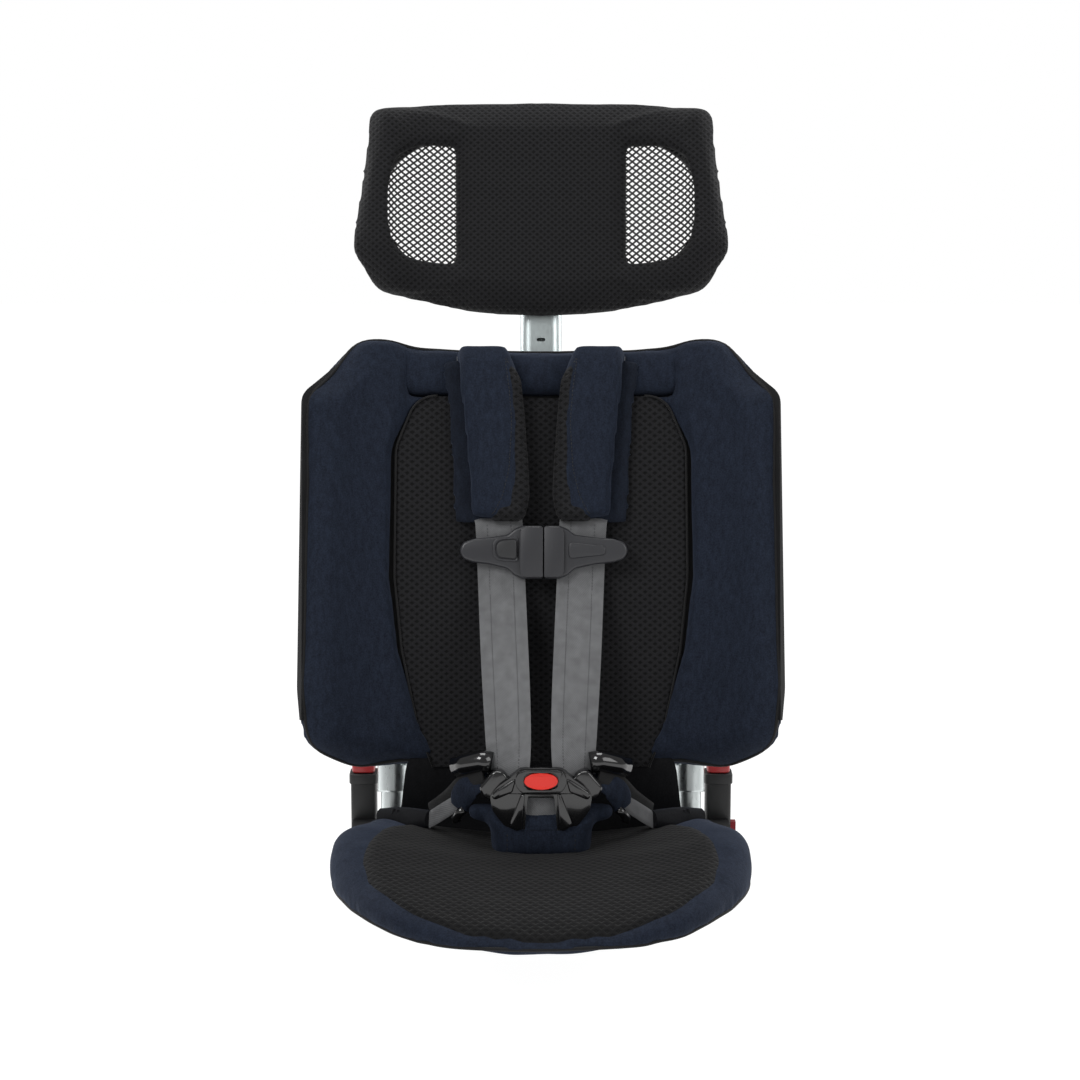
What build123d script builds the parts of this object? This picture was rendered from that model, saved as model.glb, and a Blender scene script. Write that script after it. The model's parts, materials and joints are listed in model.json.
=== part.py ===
from build123d import *
import os
from math import cos, radians, sin

# Convertible travel car seat, harness and head rest set for a small child.
# Millimetres. +Z up, the seat faces -Y, +X is the viewer's right hand.

# ---------------------------------------------------------------- overall layout
RECLINE = 12.0                 # lean of the back, degrees from upright
BACK_FOOT = (45.0, 125.0)      # Y, Z of the back's front face at its lower edge
HINGE = (82.0, 144.0)          # Y, Z of the fold axis
ORIGIN_Y = 1.7                 # moves the layout so the origin is under the box's centre

# frame tubes
TUBE_R, TUBE_WALL = 9.5, 1.6
TRACK_X = 122.0                # frame legs stand this far from the middle
RAIL_Z = 13.5                  # centre of the floor rails
LOOP_REAR_Y = 122.0
LOOP_SIDE = [(TRACK_X, LOOP_REAR_Y, RAIL_Z), (TRACK_X, 22, RAIL_Z), (60, -62, RAIL_Z),
             (60, -130, 39)]
LOOP_BENDS = [34, 60, 40]
UPRIGHT_LOW, UPRIGHT_HIGH = -118.0, -24.0   # along the lean, from the hinge
LEG_LOW, LEG_TOP = 14.0, 264.0              # the same, for the back's legs
FOOT_H = 4.0

# hinge
PIN_R, KNUCKLE_BORE_R, KNUCKLE_R = 5.0, 5.05, 16.0
KNUCKLE_HALF, CHEEK_GAP, CHEEK_T, CHEEK_R = 10.7, 11.2, 4.0, 19.0

# back: flat in the middle, wings curve forwards round WING_AXIS
WING_AXIS = (96.0, -113.0)     # x, y of the wing curve's centre, back frame
WING_R = 113.0                 # front face of the shell round that centre
SHELL_T, PAD_T = 5.0, 16.0
WING_SWEEP = 56.0
HEM_TOP = 18.0                 # the cover is a loose hem below this height

# head rest
HEAD_FACE_Y = 12.0             # front face of its shell, back frame
HEAD_AXIS_X, HEAD_R, HEAD_SWEEP = 62.0, 120.0, 52.0
HEAD_SHELL_T, HEAD_PAD_T = 5.0, 20.0
POST_Y, POST_W, POST_T = 29.0, 34.0, 18.0
POST_LOW, POST_TOP = 214.0, 500.0
DETENT_PITCH = 22.0

# harness
WEB_T = 2.4
STRAP_W, CROTCH_W = 38.0, 30.0
BUCKLE_Y0, BUCKLE_Y1 = -56.0, -34.0
BUCKLE_WEB_Y = -48.0
HINGE_NOTCH = (105.5, 138.5, 26, 56, 130, 153.5)    # room in the wing for the hinge, folded
TONGUE_DIP = 40.0              # tongues point this far below level, degrees
CLIP_X = 2.0                   # where the chest clip's halves meet
CLIP_Y0, CLIP_Y1 = -33.0, -16.0

# lower anchor connectors, stored beside the legs
CONNECTOR_X0, CONNECTOR_X1 = 137.0, 158.0
CONNECTOR_Y0, CONNECTOR_Y1 = 92.0, 113.0
CONNECTOR_Z0, CONNECTOR_Z1 = 50.0, 102.0

# seat: station Y, half width, top at middle and side, underside at middle and side
SEAT_STATIONS = [
    (46, 124, 64, 74, 44, 50),
    (10, 146, 67, 92, 42, 56),
    (-40, 161, 72, 103, 41, 60),
    (-80, 163, 76, 100, 41, 62),
    (-120, 154, 73, 90, 42, 64),
    (-155, 133, 66, 78, 43, 61),
    (-180, 105, 58.5, 67, 45.5, 56),
    (-196, 66, 51.5, 55, 46, 48.5),
]
RIM_SIDE = [(100, 34, 50), (141, -30, 60), (138, -95, 60), (84, -146, 51)]
RIM_ENDS = (0, 34, 50), (0, -146, 51)
RIM_BENDS = [22, 70, 60, 45]
SEAT_SKIN, SEAT_SKIRT = 8.0, 6.0
RIM_R = 8.0

BACK = Pos(0, *BACK_FOOT) * Rot(X=-RECLINE)
LEAN = Pos(0, *HINGE) * Rot(X=-RECLINE)
HINGE_Y = (HINGE[0] - BACK_FOOT[0]) * cos(radians(RECLINE)) \
    - (HINGE[1] - BACK_FOOT[1]) * sin(radians(RECLINE))
HINGE_Z = (HINGE[0] - BACK_FOOT[0]) * sin(radians(RECLINE)) \
    + (HINGE[1] - BACK_FOOT[1]) * cos(radians(RECLINE))

written = []


# ---------------------------------------------------------------- helpers
def write(name, *shapes):
    """One sub-part, as one STEP file, in the part's own frame."""
    solids = [s for shape in shapes for s in shape.solids()]
    moved = [Pos(0, ORIGIN_Y, 0) * s for s in solids]
    whole = moved[0] if len(moved) == 1 else Compound(children=moved)
    export_step(whole, os.path.join("parts", name + ".step"))
    written.append(name)


def block(x0, x1, y0, y1, z0, z1):
    """A box between two corners."""
    size = (x1 - x0, y1 - y0, z1 - z0)
    return Pos((x0 + x1) / 2, (y0 + y1) / 2, (z0 + z1) / 2) * Box(*size)


def rod_x(x0, x1, y, z, r):
    """A round bar along X."""
    return Pos((x0 + x1) / 2, y, z) * Rot(Y=90) * Cylinder(r, x1 - x0)


def rod_y(x, y0, y1, z, r):
    """A round bar along Y."""
    return Pos(x, (y0 + y1) / 2, z) * Rot(X=90) * Cylinder(r, y1 - y0)


def facing(sketch, y0, y1):
    """A drawing in x and z, as seen from the front, made solid from y0 to y1."""
    return extrude(Plane.XZ.offset(-y1) * sketch, amount=y1 - y0)


def half_outline(points, radii):
    """A symmetric face from its right half, top to bottom, corners rounded."""
    edge = FilletPolyline(*points, radius=radii)
    half = make_face([edge, Line(edge @ 1, edge @ 0)])
    return half + mirror(half, Plane.YZ)


def left_right(shape):
    """The right-hand piece and its mirror image."""
    return {"right": shape, "left": mirror(shape, Plane.YZ)}


def tube(points, bends, r=TUBE_R, wall=TUBE_WALL):
    """A bent round tube."""
    path = FilletPolyline(*points, radius=bends)
    section = Plane(path @ 0, z_dir=path % 0) * (Circle(r) - Circle(r - wall))
    return sweep(section, path=path)


def band(axis_x, axis_y, radius, near, far, sweep_deg):
    """Plan of a sheet that is flat, then curves forwards; near and far are in front of radius."""
    edges = []
    for t in (near, far):
        top = (axis_x, axis_y + radius - t)
        edges.append(Line((0, top[1]), top))
        edges.append(CenterArc((axis_x, axis_y), radius - t, 90, -sweep_deg))
    edges.append(Line(edges[1] @ 1, edges[3] @ 1))
    edges.append(Line(edges[0] @ 0, edges[2] @ 0))
    half = make_face(edges)
    return half + mirror(half, Plane.YZ)


def back_band(near, far, z0, z1, sweep_deg=WING_SWEEP):
    """Part of the back's curved section, between two distances in front of the shell."""
    plan = band(*WING_AXIS, WING_R, near, far, sweep_deg)
    return extrude(Plane.XY.offset(z0) * plan, amount=z1 - z0)


def ribbon(stations, width, thick):
    """Flat webbing through stations (x, y, z, yaw in degrees)."""
    centres = [Vector(*s[:3]) for s in stations]
    faces = []
    for i, (here, s) in enumerate(zip(centres, stations)):
        along = centres[min(i + 1, len(centres) - 1)] - centres[max(i - 1, 0)]
        across = Vector(cos(radians(s[3])), sin(radians(s[3])), 0)
        across = (across - along.normalized() * across.dot(along.normalized())).normalized()
        normal = along.cross(across).normalized()
        corners = [
            here + across * (width / 2 * a) + normal * (thick / 2 * b)
            for a, b in ((-1, -1), (1, -1), (1, 1), (-1, 1))
        ]
        faces.append(Face(Wire.make_polygon(corners, close=True)))
    return loft(faces, ruled=True)


# ---------------------------------------------------------------- outlines, x and z
def back_outline():
    points = [(0, 335), (106, 337), (118, 343.5), (143, 342.5), (190.5, 295),
              (193.5, 60), (189, 14), (146, -2), (0, -3)]
    return half_outline(points, [8, 5, 22, 20, 80, 22, 25])


def mesh_outline():
    points = [(0, 295), (100, 297), (117, 255), (118, 150), (112, 90), (96, 28), (84, -3), (0, -3)]
    return half_outline(points, [24, 30, 60, 60, 60, 0.5])


def head_outline(inset=0.0):
    points = [(0, 539 - inset), (70, 538 - inset), (135 - inset, 531 - inset),
              (153.5 - inset, 412), (128 - inset, 384 + inset), (52, 368 + inset),
              (0, 365 + inset)]
    return half_outline(points, [150, 13, 26, 30, 150])


def window_outline(grow=0.0):
    inner, outer, low, high = 70 - grow, 126 + grow, 405 - grow, 503 + grow
    bend_x, middle = 90, (low + high) / 2
    edges = [
        Line((bend_x, low), (inner, low)),
        Line((inner, low), (inner, high)),
        Line((inner, high), (bend_x, high)),
        ThreePointArc((bend_x, high), (outer, middle), (bend_x, low)),
    ]
    return make_face(edges)


# ---------------------------------------------------------------- seat and its rim
def seat_block(narrow=0.0, drop=0.0, rear=0.0, floor=0.0):
    """The seat's whole volume, or the space under its skin."""
    faces = []
    for i, (y, half, mid, side, low_mid, low_side) in enumerate(SEAT_STATIONS):
        w, c, s = half - narrow, mid - drop, side - drop
        y_here = y + rear if i == 0 else y
        y_here += narrow if i == len(SEAT_STATIONS) - 1 else 0
        low_c, low_s = low_mid - floor, low_side - floor
        c, s = max(c, low_c + 2), max(s, low_s + 3)
        edges = [
            ThreePointArc((-w, s), (0, c), (w, s)),
            Line((w, s), (w, low_s)),
            ThreePointArc((w, low_s), (0, low_c), (-w, low_s)),
            Line((-w, low_s), (-w, s)),
        ]
        faces.append(Plane.XZ.offset(-y_here) * make_face(edges))
    return loft(faces)


def rim(wall=0.0):
    """The seat's rim, solid, or a tube of that wall."""
    path = FilletPolyline(RIM_ENDS[0], *RIM_SIDE, RIM_ENDS[1], radius=RIM_BENDS)
    section = Circle(RIM_R) - Circle(RIM_R - wall) if wall else Circle(RIM_R)
    right = sweep(Plane(path @ 0, z_dir=path % 0) * section, path=path)
    return right + mirror(right, Plane.YZ)


# ---------------------------------------------------------------- the base
def make_base():
    right = tube([(0, LOOP_REAR_Y, RAIL_Z)] + LOOP_SIDE, LOOP_BENDS)
    loop = right + mirror(right, Plane.YZ)
    upright = LEAN * Pos(TRACK_X, 0, (UPRIGHT_LOW + UPRIGHT_HIGH) / 2) * (
        Cylinder(TUBE_R, UPRIGHT_HIGH - UPRIGHT_LOW)
        - Cylinder(TUBE_R - TUBE_WALL, UPRIGHT_HIGH - UPRIGHT_LOW))
    upright_full = LEAN * Pos(TRACK_X, 0, (UPRIGHT_LOW + UPRIGHT_HIGH) / 2) * Cylinder(
        TUBE_R, UPRIGHT_HIGH - UPRIGHT_LOW)
    write("floor_loop", loop)
    write("seat_rim", rim(1.5))
    for side, piece in left_right(upright).items():
        write("upright_" + side, piece)

    # rail sockets: a saddle on the rail that the upright stands in
    foot_y = HINGE[0] + UPRIGHT_LOW * sin(radians(RECLINE))
    saddle = block(TRACK_X - 15, TRACK_X + 15, foot_y - 16, foot_y + 20, RAIL_Z - 4, RAIL_Z + 27)
    saddle = fillet(saddle.edges().filter_by(Axis.Z), 8)
    rail_full = rod_y(TRACK_X, 20, LOOP_REAR_Y - 20, RAIL_Z, TUBE_R)
    saddle = saddle - rail_full - upright_full
    sockets = left_right(saddle)
    write("rail_sockets", sockets["right"], sockets["left"])

    # hinge brackets: a socket on the upright and two cheeks
    cheek_mid = CHEEK_GAP + CHEEK_T / 2
    bracket = Pos(TRACK_X, 0, -37) * Box(2 * (CHEEK_GAP + CHEEK_T), 25, 30)
    bracket = fillet(bracket.edges().filter_by(Axis.Z), 5)
    for side in (-1, 1):
        disc = Pos(TRACK_X + side * cheek_mid, 0, 0) * Rot(Y=90) * Cylinder(CHEEK_R, CHEEK_T)
        web = Pos(TRACK_X + side * cheek_mid, 0, -20) * Box(CHEEK_T, 25, 40)
        bracket = bracket + disc + web
    bracket = bracket - Pos(TRACK_X, 0, 0) * Rot(Y=90) * Cylinder(PIN_R, 60)
    bracket = LEAN * bracket - upright_full
    for side, piece in left_right(bracket).items():
        write("hinge_bracket_" + side, piece)
    pin = Pos(TRACK_X, 0, 0) * Rot(Y=90) * Cylinder(PIN_R, 2 * (CHEEK_GAP + CHEEK_T) + 1)
    head = Pos(TRACK_X + CHEEK_GAP + CHEEK_T + 1.5, 0, 0) * Rot(Y=90) * Cylinder(8, 2)
    pins = left_right(LEAN * (pin + head))
    write("hinge_pins", pins["right"], pins["left"])

    # rubber feet under the loop
    feet = []
    for x, y, turn in ((TRACK_X, 36, 0), (TRACK_X, 84, 0), (86, -26, 54), (40, LOOP_REAR_Y, 0)):
        foot = block(-12, 12, -8, 8, 0, RAIL_Z - 4)
        foot = fillet(foot.edges().filter_by(Axis.Z), 5)
        feet.append(largest(Pos(x, y, 0) * Rot(Z=turn) * foot - loop))
    write("base_feet", *feet, *[mirror(f, Plane.YZ) for f in feet])

    # brackets between loop, uprights and rim
    path = FilletPolyline(*LOOP_SIDE[1:], radius=LOOP_BENDS[2])
    riser = sweep(Plane(path @ 0, z_dir=path % 0) * Circle(TUBE_R), path=path)
    front = block(47, 73, -150, -114, 40, 51)
    front = largest(front - rim() - riser)
    rear_y = HINGE[0] - (HINGE[1] - 50) * sin(radians(RECLINE)) / cos(radians(RECLINE))
    rear = block(96, TRACK_X + 13, 47, rear_y + 13, 43, 57) + block(88, 112, 26, 48, 43, 57)
    rear = largest(rear - upright_full - rim())
    mounts = left_right(front)
    rears = left_right(rear)
    write("seat_mounts", mounts["right"], mounts["left"], rears["right"], rears["left"])
    bar = rod_x(-141, 141, -50, 56, 5) - rim()
    write("crotch_bar", largest(bar))
    write("seat_cover", seat_cover_solid())


def largest(shape):
    """The biggest of a shape's solids."""
    return max(shape.solids(), key=lambda s: s.volume)


def seat_cover_solid():
    """Skin over the rim with a skirt, open below and behind, slotted for the crotch strap."""
    skin = seat_block() - seat_block(narrow=SEAT_SKIRT, drop=SEAT_SKIN, rear=6, floor=8)
    return skin - block(-17, 17, BUCKLE_WEB_Y - 3, BUCKLE_WEB_Y + 3, 50, 90)


# ---------------------------------------------------------------- crotch strap and buckle
def make_buckle():
    web = block(-CROTCH_W / 2, CROTCH_W / 2, BUCKLE_WEB_Y - WEB_T / 2, BUCKLE_WEB_Y + WEB_T / 2,
                61.5, 122)
    write("crotch_strap", web)

    low = block(-42, 42, -58, -25, 80, 95)
    low = fillet(low.edges().filter_by(Axis.Z), 7)
    flare = block(-57, 57, -33.5, -25, 90, 112)
    flare = fillet(flare.edges().filter_by(Axis.Y), 8)
    pad = low + flare - block(-16.5, 16.5, BUCKLE_WEB_Y - 2.2, BUCKLE_WEB_Y + 2.2, 70, 96)
    write("crotch_pad", pad)

    shield = half_outline([(0, 146), (17, 143), (25, 131), (39.5, 124), (37, 112), (27, 99),
                           (17, 96), (0, 96)], [8, 6, 4, 8, 6, 4])
    housing = facing(shield, BUCKLE_Y0, BUCKLE_Y1)
    housing = chamfer(housing.faces().sort_by(Axis.Y)[0].edges(), 1.5)
    housing = housing - block(-15.6, 15.6, BUCKLE_WEB_Y - 2, BUCKLE_WEB_Y + 2, 90, 124)
    housing = housing - block(-10.5, 10.5, -60, BUCKLE_WEB_Y - 1.5, 110, 123)
    button_hole = facing(Pos(0, 134) * SlotOverall(26.6, 13.6), -60, -47)
    housing = housing - button_hole

    button = facing(Pos(0, 134) * SlotOverall(26, 13), -57.5, -51)
    button = chamfer(button.faces().sort_by(Axis.Y)[0].edges(), 1)
    write("buckle_button", button)

    # tongues: a steel blade in a slot of the housing, and a moulded head outside it
    blade_place = Pos(27, -42, 124) * Rot(Y=-TONGUE_DIP)
    blade = block(-17, 2, -1, 1, -6, 6)
    slot = block(-18, 30, -1.5, 1.5, -6.6, 6.6)
    head = block(1.9, 12, -4, 4, -12, 12)
    head = fillet(head.edges().filter_by(Axis.Y), 3)
    housing = housing - blade_place * slot - mirror(blade_place * slot, Plane.YZ)
    head_room = blade_place * block(1.4, 30, -4.6, 4.6, -12.6, 12.6)
    housing = housing - head_room - mirror(head_room, Plane.YZ)
    write("buckle_housing", largest(housing))
    tongues = left_right(blade_place * (blade + head))
    for side, piece in tongues.items():
        write("buckle_tongue_" + side, piece)


# ---------------------------------------------------------------- lap straps
def make_lap():
    route = [(45, -37, 139, 35), (60, -30, 137, 45), (74, -12, 118, 45), (92, 4, 109, 50)]
    strap = ribbon(route, 30, WEB_T)
    sleeve = ribbon([(93, 5, 109, 50), (112, 22, 101, 45), (122, 33, 96, 40)], 32, 11)
    link = (ribbon(route, 38, 8) - ribbon(route, 31.4, 3.4)) & block(30, 110, -60, 30, 124, 132)
    for side, piece in left_right(strap).items():
        write("lap_strap_" + side, piece)
    for side, piece in left_right(sleeve).items():
        write("lap_sleeve_" + side, piece)
    for side, piece in left_right(link).items():
        write("hip_link_" + side, piece)
    write("red_tab", block(CONNECTOR_X1, CONNECTOR_X1 + 4.5, 97, 105, 52, 60))
    lower = ribbon([(0, 34.5, 120, 0), (0, 40, 98, 0), (0, 48.5, 78, 0), (0, 50, 61, 0)], 214, 3)
    write("lower_mesh", lower)


# ---------------------------------------------------------------- lower anchor connectors
def make_connectors():
    mid_x = (CONNECTOR_X0 + CONNECTOR_X1) / 2
    mid_y = (CONNECTOR_Y0 + CONNECTOR_Y1) / 2
    body = block(CONNECTOR_X0, CONNECTOR_X1, CONNECTOR_Y0, CONNECTOR_Y1, CONNECTOR_Z0, CONNECTOR_Z1)
    body = fillet(body.edges().filter_by(Axis.Z), 3)
    body = body - block(mid_x - 6.4, mid_x + 6.4, mid_y - 6.4, mid_y + 6.4,
                        CONNECTOR_Z1 - 14, CONNECTOR_Z1 + 1)
    mouth = block(mid_x - 3.5, mid_x + 3.5, CONNECTOR_Y0 + 3, CONNECTOR_Y1 - 3,
                  CONNECTOR_Z0 - 1, CONNECTOR_Z0 + 24)
    body = body - mouth
    button = block(mid_x - 9, mid_x + 9, mid_y - 9, mid_y + 9, CONNECTOR_Z1 + 4.2, CONNECTOR_Z1 + 8)
    button = fillet(button.edges().filter_by(Axis.Z), 3)
    button = button + block(mid_x - 6, mid_x + 6, mid_y - 6, mid_y + 6,
                            CONNECTOR_Z1 - 9, CONNECTOR_Z1 + 4.3)
    jaw_axis = (mid_y - 3, CONNECTOR_Z0 + 14)
    jaw = rod_x(mid_x - 2.5, mid_x + 2.5, *jaw_axis, 4)
    jaw = jaw + block(mid_x - 2.5, mid_x + 2.5, mid_y - 6, mid_y - 1, CONNECTOR_Z0 + 2,
                      CONNECTOR_Z0 + 14)
    bore = rod_x(mid_x - 6, mid_x + 6, *jaw_axis, 2.05)
    axle = rod_x(mid_x - 5, mid_x + 5, *jaw_axis, 2)
    arm = block(TRACK_X + 4, CONNECTOR_X1 - 2, CONNECTOR_Y0 - 20, CONNECTOR_Y0 - 0.2, 50, 64)
    collar_y = HINGE[0] - (HINGE[1] - 57) * sin(radians(RECLINE)) / cos(radians(RECLINE))
    collar = block(TRACK_X - 13, TRACK_X + 13, collar_y + 0.5, CONNECTOR_Y0 - 12, 50, 64)
    upright_full = LEAN * Pos(TRACK_X, 0, -70) * Cylinder(TUBE_R, 110)
    holder = largest(arm + collar - upright_full - rear_mount_room())
    for side in ("right", "left"):
        write("anchor_body_" + side, left_right(body + axle)[side])
        write("anchor_button_" + side, left_right(button)[side])
        write("anchor_jaw_" + side, left_right(jaw - bore)[side])
        write("anchor_holder_" + side, left_right(holder)[side])


def rear_mount_room():
    return block(90, TRACK_X + 14, 20, 76, 42.5, 57.5)


# ---------------------------------------------------------------- the back
def make_back():
    outline = back_outline()
    prism = facing(outline, -90, 30)
    leg = tube([(TRACK_X, HINGE_Y, HINGE_Z + LEG_LOW), (TRACK_X, HINGE_Y, HINGE_Z + LEG_TOP),
                (24, HINGE_Y, HINGE_Z + LEG_TOP)], [46])
    knuckle = Pos(TRACK_X, HINGE_Y, HINGE_Z) * Rot(Y=90) * (
        Cylinder(KNUCKLE_R, 2 * KNUCKLE_HALF) - Cylinder(KNUCKLE_BORE_R, 3 * KNUCKLE_HALF))
    neck = Pos(TRACK_X, HINGE_Y, HINGE_Z + 21) * Box(2 * KNUCKLE_HALF - 1, 23, 26)
    neck = fillet(neck.edges().filter_by(Axis.Z), 4)
    neck = neck - Pos(TRACK_X, HINGE_Y, HINGE_Z) * Rot(Y=90) * Cylinder(KNUCKLE_BORE_R, 60)
    leg_full = Pos(TRACK_X, HINGE_Y, HINGE_Z + 80) * Cylinder(TUBE_R, 2 * (80 - LEG_LOW))
    knuckle = knuckle + neck - leg_full
    for side, piece in left_right(leg).items():
        write("back_tube_" + side, BACK * piece)
    pair = left_right(knuckle)
    write("hinge_knuckles", BACK * pair["right"], BACK * pair["left"])

    # shell: a curved plate with a large opening, on four bosses
    shell = back_band(-SHELL_T, 0, 36, 333) & prism
    opening = facing(half_outline([(0, 262), (84, 262), (84, 62), (0, 62)], [30, 30]), -20, 20)
    shell = shell - opening
    for side in (-1, 1):
        for z in (92, 232):
            boss = block(side * TRACK_X - 11, side * TRACK_X + 11, 0, HINGE_Y, z - 10, z + 10)
            boss = boss - back_band(-1, 40, z - 20, z + 20)
            shell = shell + boss
        shell = shell - Pos(side * TRACK_X, HINGE_Y, 170) * Cylinder(TUBE_R, 250)
        lug = block(side * 94 - 5, side * 94 + 5, 4.5, 14.5, 292, 308)
        shell = shell + lug
    bar = rod_x(-99, 99, 10, 300, 3.5)
    shell = shell - rod_x(-99, 99, 10, 300, 3.5)
    write("back_shell", BACK * shell)
    write("harness_bar", BACK * bar)
    cross = rod_x(-TRACK_X, TRACK_X, HINGE_Y, 74, 7)
    cross = cross - Pos(TRACK_X, HINGE_Y, 74) * Cylinder(TUBE_R, 30)
    cross = cross - Pos(-TRACK_X, HINGE_Y, 74) * Cylinder(TUBE_R, 30)
    write("back_crossbar", BACK * cross)

    # soft cover: wings, top band, centre mesh and the loose hem
    cover = back_band(0.3, PAD_T, -4, 345, WING_SWEEP + 3) & prism
    mesh_prism = facing(mesh_outline(), -60, 30)
    band_prism = facing(half_outline([(0, 336), (107.5, 338), (108, 296.5), (0, 295.2)],
                                     [0.4, 0.4]), -60, 30)
    pads = cover - mesh_prism - band_prism
    upper = block(-220, 220, -90, 40, HEM_TOP, 350)
    lower = block(-220, 220, -90, 40, -10, HEM_TOP - 0.4)
    right = block(0, 220, -90, 40, -10, 350)
    wing = largest(pads & upper & right)
    for side, piece in left_right(BACK * wing - block(*HINGE_NOTCH)).items():
        write("wing_pad_" + side, piece)
    hem = largest(pads & lower & right)
    write("cover_hem", BACK * hem, BACK * mirror(hem, Plane.YZ))
    write("top_band", BACK * largest(cover & band_prism))
    mesh = back_band(9, 13, -4, 345, WING_SWEEP) & mesh_prism
    write("back_mesh", BACK * largest(mesh & block(-220, 220, -60, 40, 2, 294.8)))

    # fold release: a sprung grip on a guide behind the crossbar
    guide = block(-50, 50, 24, 44, 62, 88) - rod_x(-60, 60, HINGE_Y, 74, 7)
    write("release_guide", BACK * guide)
    grip = block(-44, 44, 44.4, 54, 30, 90) - block(-32, 32, 40, 60, 37, 59)
    grip = fillet(grip.edges().filter_by(Axis.Y), 5)
    write("fold_release", BACK * grip)


def make_post():
    housing = block(-36, 36, 15, 47, 236, 333)
    housing = fillet(housing.edges().filter_by(Axis.Z), 6)
    slot = Pos(0, POST_Y) * SlotOverall(POST_W + 0.8, POST_T + 0.8)
    housing = housing - extrude(Plane.XY.offset(230) * slot, amount=120)
    leg_z = HINGE_Z + LEG_TOP
    housing = housing - rod_x(24, 60, HINGE_Y, leg_z, TUBE_R) - rod_x(-60, -24, HINGE_Y, leg_z, TUBE_R)
    button_z = 258
    housing = housing - rod_y(0, 38, 50, button_z, 8.3)
    write("post_housing", BACK * housing)
    button = rod_y(0, 41.2, 50, button_z, 8)
    button = chamfer(button.faces().sort_by(Axis.Y)[-1].edges(), 1)
    write("headrest_button", BACK * button)

    post = extrude(Plane.XY.offset(POST_LOW) * Pos(0, POST_Y) * (
        SlotOverall(POST_W, POST_T) - SlotOverall(POST_W - 4, POST_T - 4)),
        amount=POST_TOP - POST_LOW)
    for step in range(5):
        z = 346 - step * DETENT_PITCH
        post = post - facing(Pos(0, z) * SlotOverall(7, 3), POST_Y - 12, POST_Y - 4)
    write("headrest_post", BACK * post)


def make_headrest():
    axis_y = HEAD_FACE_Y - HEAD_R
    outline = facing(head_outline(), -90, 40)
    windows = facing(window_outline(), -90, 40)
    windows = windows + mirror(windows, Plane.YZ)
    wide = facing(window_outline(3), -90, 40)
    wide = wide + mirror(wide, Plane.YZ)

    def sheet(near, far):
        plan = band(HEAD_AXIS_X, axis_y, HEAD_R, near, far, HEAD_SWEEP)
        return extrude(Plane.XY.offset(350) * plan, amount=200)

    shell = sheet(-HEAD_SHELL_T, 0) & facing(head_outline(4), -90, 40)
    shell = shell - wide
    socket = block(-26, 26, HEAD_FACE_Y + 4.8, POST_Y + POST_T / 2 + 5, 392, POST_TOP + 8)
    socket = fillet(socket.edges().filter_by(Axis.Z), 4)
    socket = socket - extrude(Plane.XY.offset(380) * Pos(0, POST_Y) * SlotOverall(POST_W, POST_T),
                              amount=POST_TOP - 380)
    write("headrest_shell", BACK * largest(shell + socket))
    cover = (sheet(0.3, HEAD_PAD_T) & outline) - windows
    write("headrest_pad", BACK * largest(cover))
    nets = [s for s in (sheet(8, 9.5) & windows).solids()]
    write("headrest_nets", *[BACK * s for s in nets])


# ---------------------------------------------------------------- shoulder straps and chest clip
def make_shoulders():
    route = [(49, 6.9, 304.5, 0), (49, 6.9, 336, 0), (49, 5, 338.6, 0), (49, -16.5, 338.6, 0),
             (49, -18.2, 335, 0), (45, -18.2, 290, 0), (36, -18.2, 208, 0), (34, -22.5, 192, 0),
             (32, -22.5, 146.6, 0), (29, -64, 66, 0), (26, -108, 2, 0), (26, -103.5, -17.5, 0)]
    strap = ribbon(route, STRAP_W, WEB_T)
    for side, piece in left_right(strap).items():
        write("shoulder_strap_" + side, BACK * piece)

    pad = ribbon([(48.5, -27, 334, 0), (45, -27, 290, 0), (35.5, -27, 210, 0),
                  (34.5, -30, 199, 0)], 47, 13)
    for side, piece in left_right(pad).items():
        write("shoulder_pad_" + side, BACK * piece)

    # chest clip: two slotted halves, a prong and a button
    half = FilletPolyline((0, 190.6), (18, 190.6), (24, 184), (66, 180), (66, 160), (24, 155),
                          (18, 148.6), (0, 148.6), radius=[3, 8, 9, 9, 8, 3])
    face = make_face([half, Line(half @ 1, half @ 0)])
    body = facing(face, CLIP_Y0, CLIP_Y1)
    slot = block(9, 54.5, -24.6, -20.4, 140, 200)
    right = Pos(CLIP_X, 0, 0) * (body - slot)
    left = Pos(CLIP_X, 0, 0) * mirror(body - slot, Plane.YZ)
    prong = block(CLIP_X - 5.5, CLIP_X + 3, -29, -26, 162, 177)
    pocket = block(CLIP_X - 6.2, CLIP_X, -29.4, -25.6, 161.6, 177.4)
    left = left - pocket
    button_face = Polygon((-35, 165.5), (-18.5, 164), (-18.5, 179.5), (-35, 178), align=None)
    hole_face = offset(button_face, 0.35)
    left = left - facing(hole_face, -45, -24)
    button = facing(fillet(button_face.vertices(), 3), -34.6, -26.6)
    write("chest_clip_left", BACK * left)
    write("chest_clip_right", BACK * (right + prong))
    write("chest_clip_button", BACK * button)


os.makedirs("parts", exist_ok=True)
make_base()
make_buckle()
make_lap()
make_connectors()
make_back()
make_post()
make_headrest()
make_shoulders()
print(len(written), "sub-parts")
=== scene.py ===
"""Looks of a convertible travel car seat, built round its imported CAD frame."""
import json
import math

import bmesh
import bpy
import numpy as np
from mathutils import Matrix, Vector, noise
from mathutils.bvhtree import BVHTree


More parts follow.
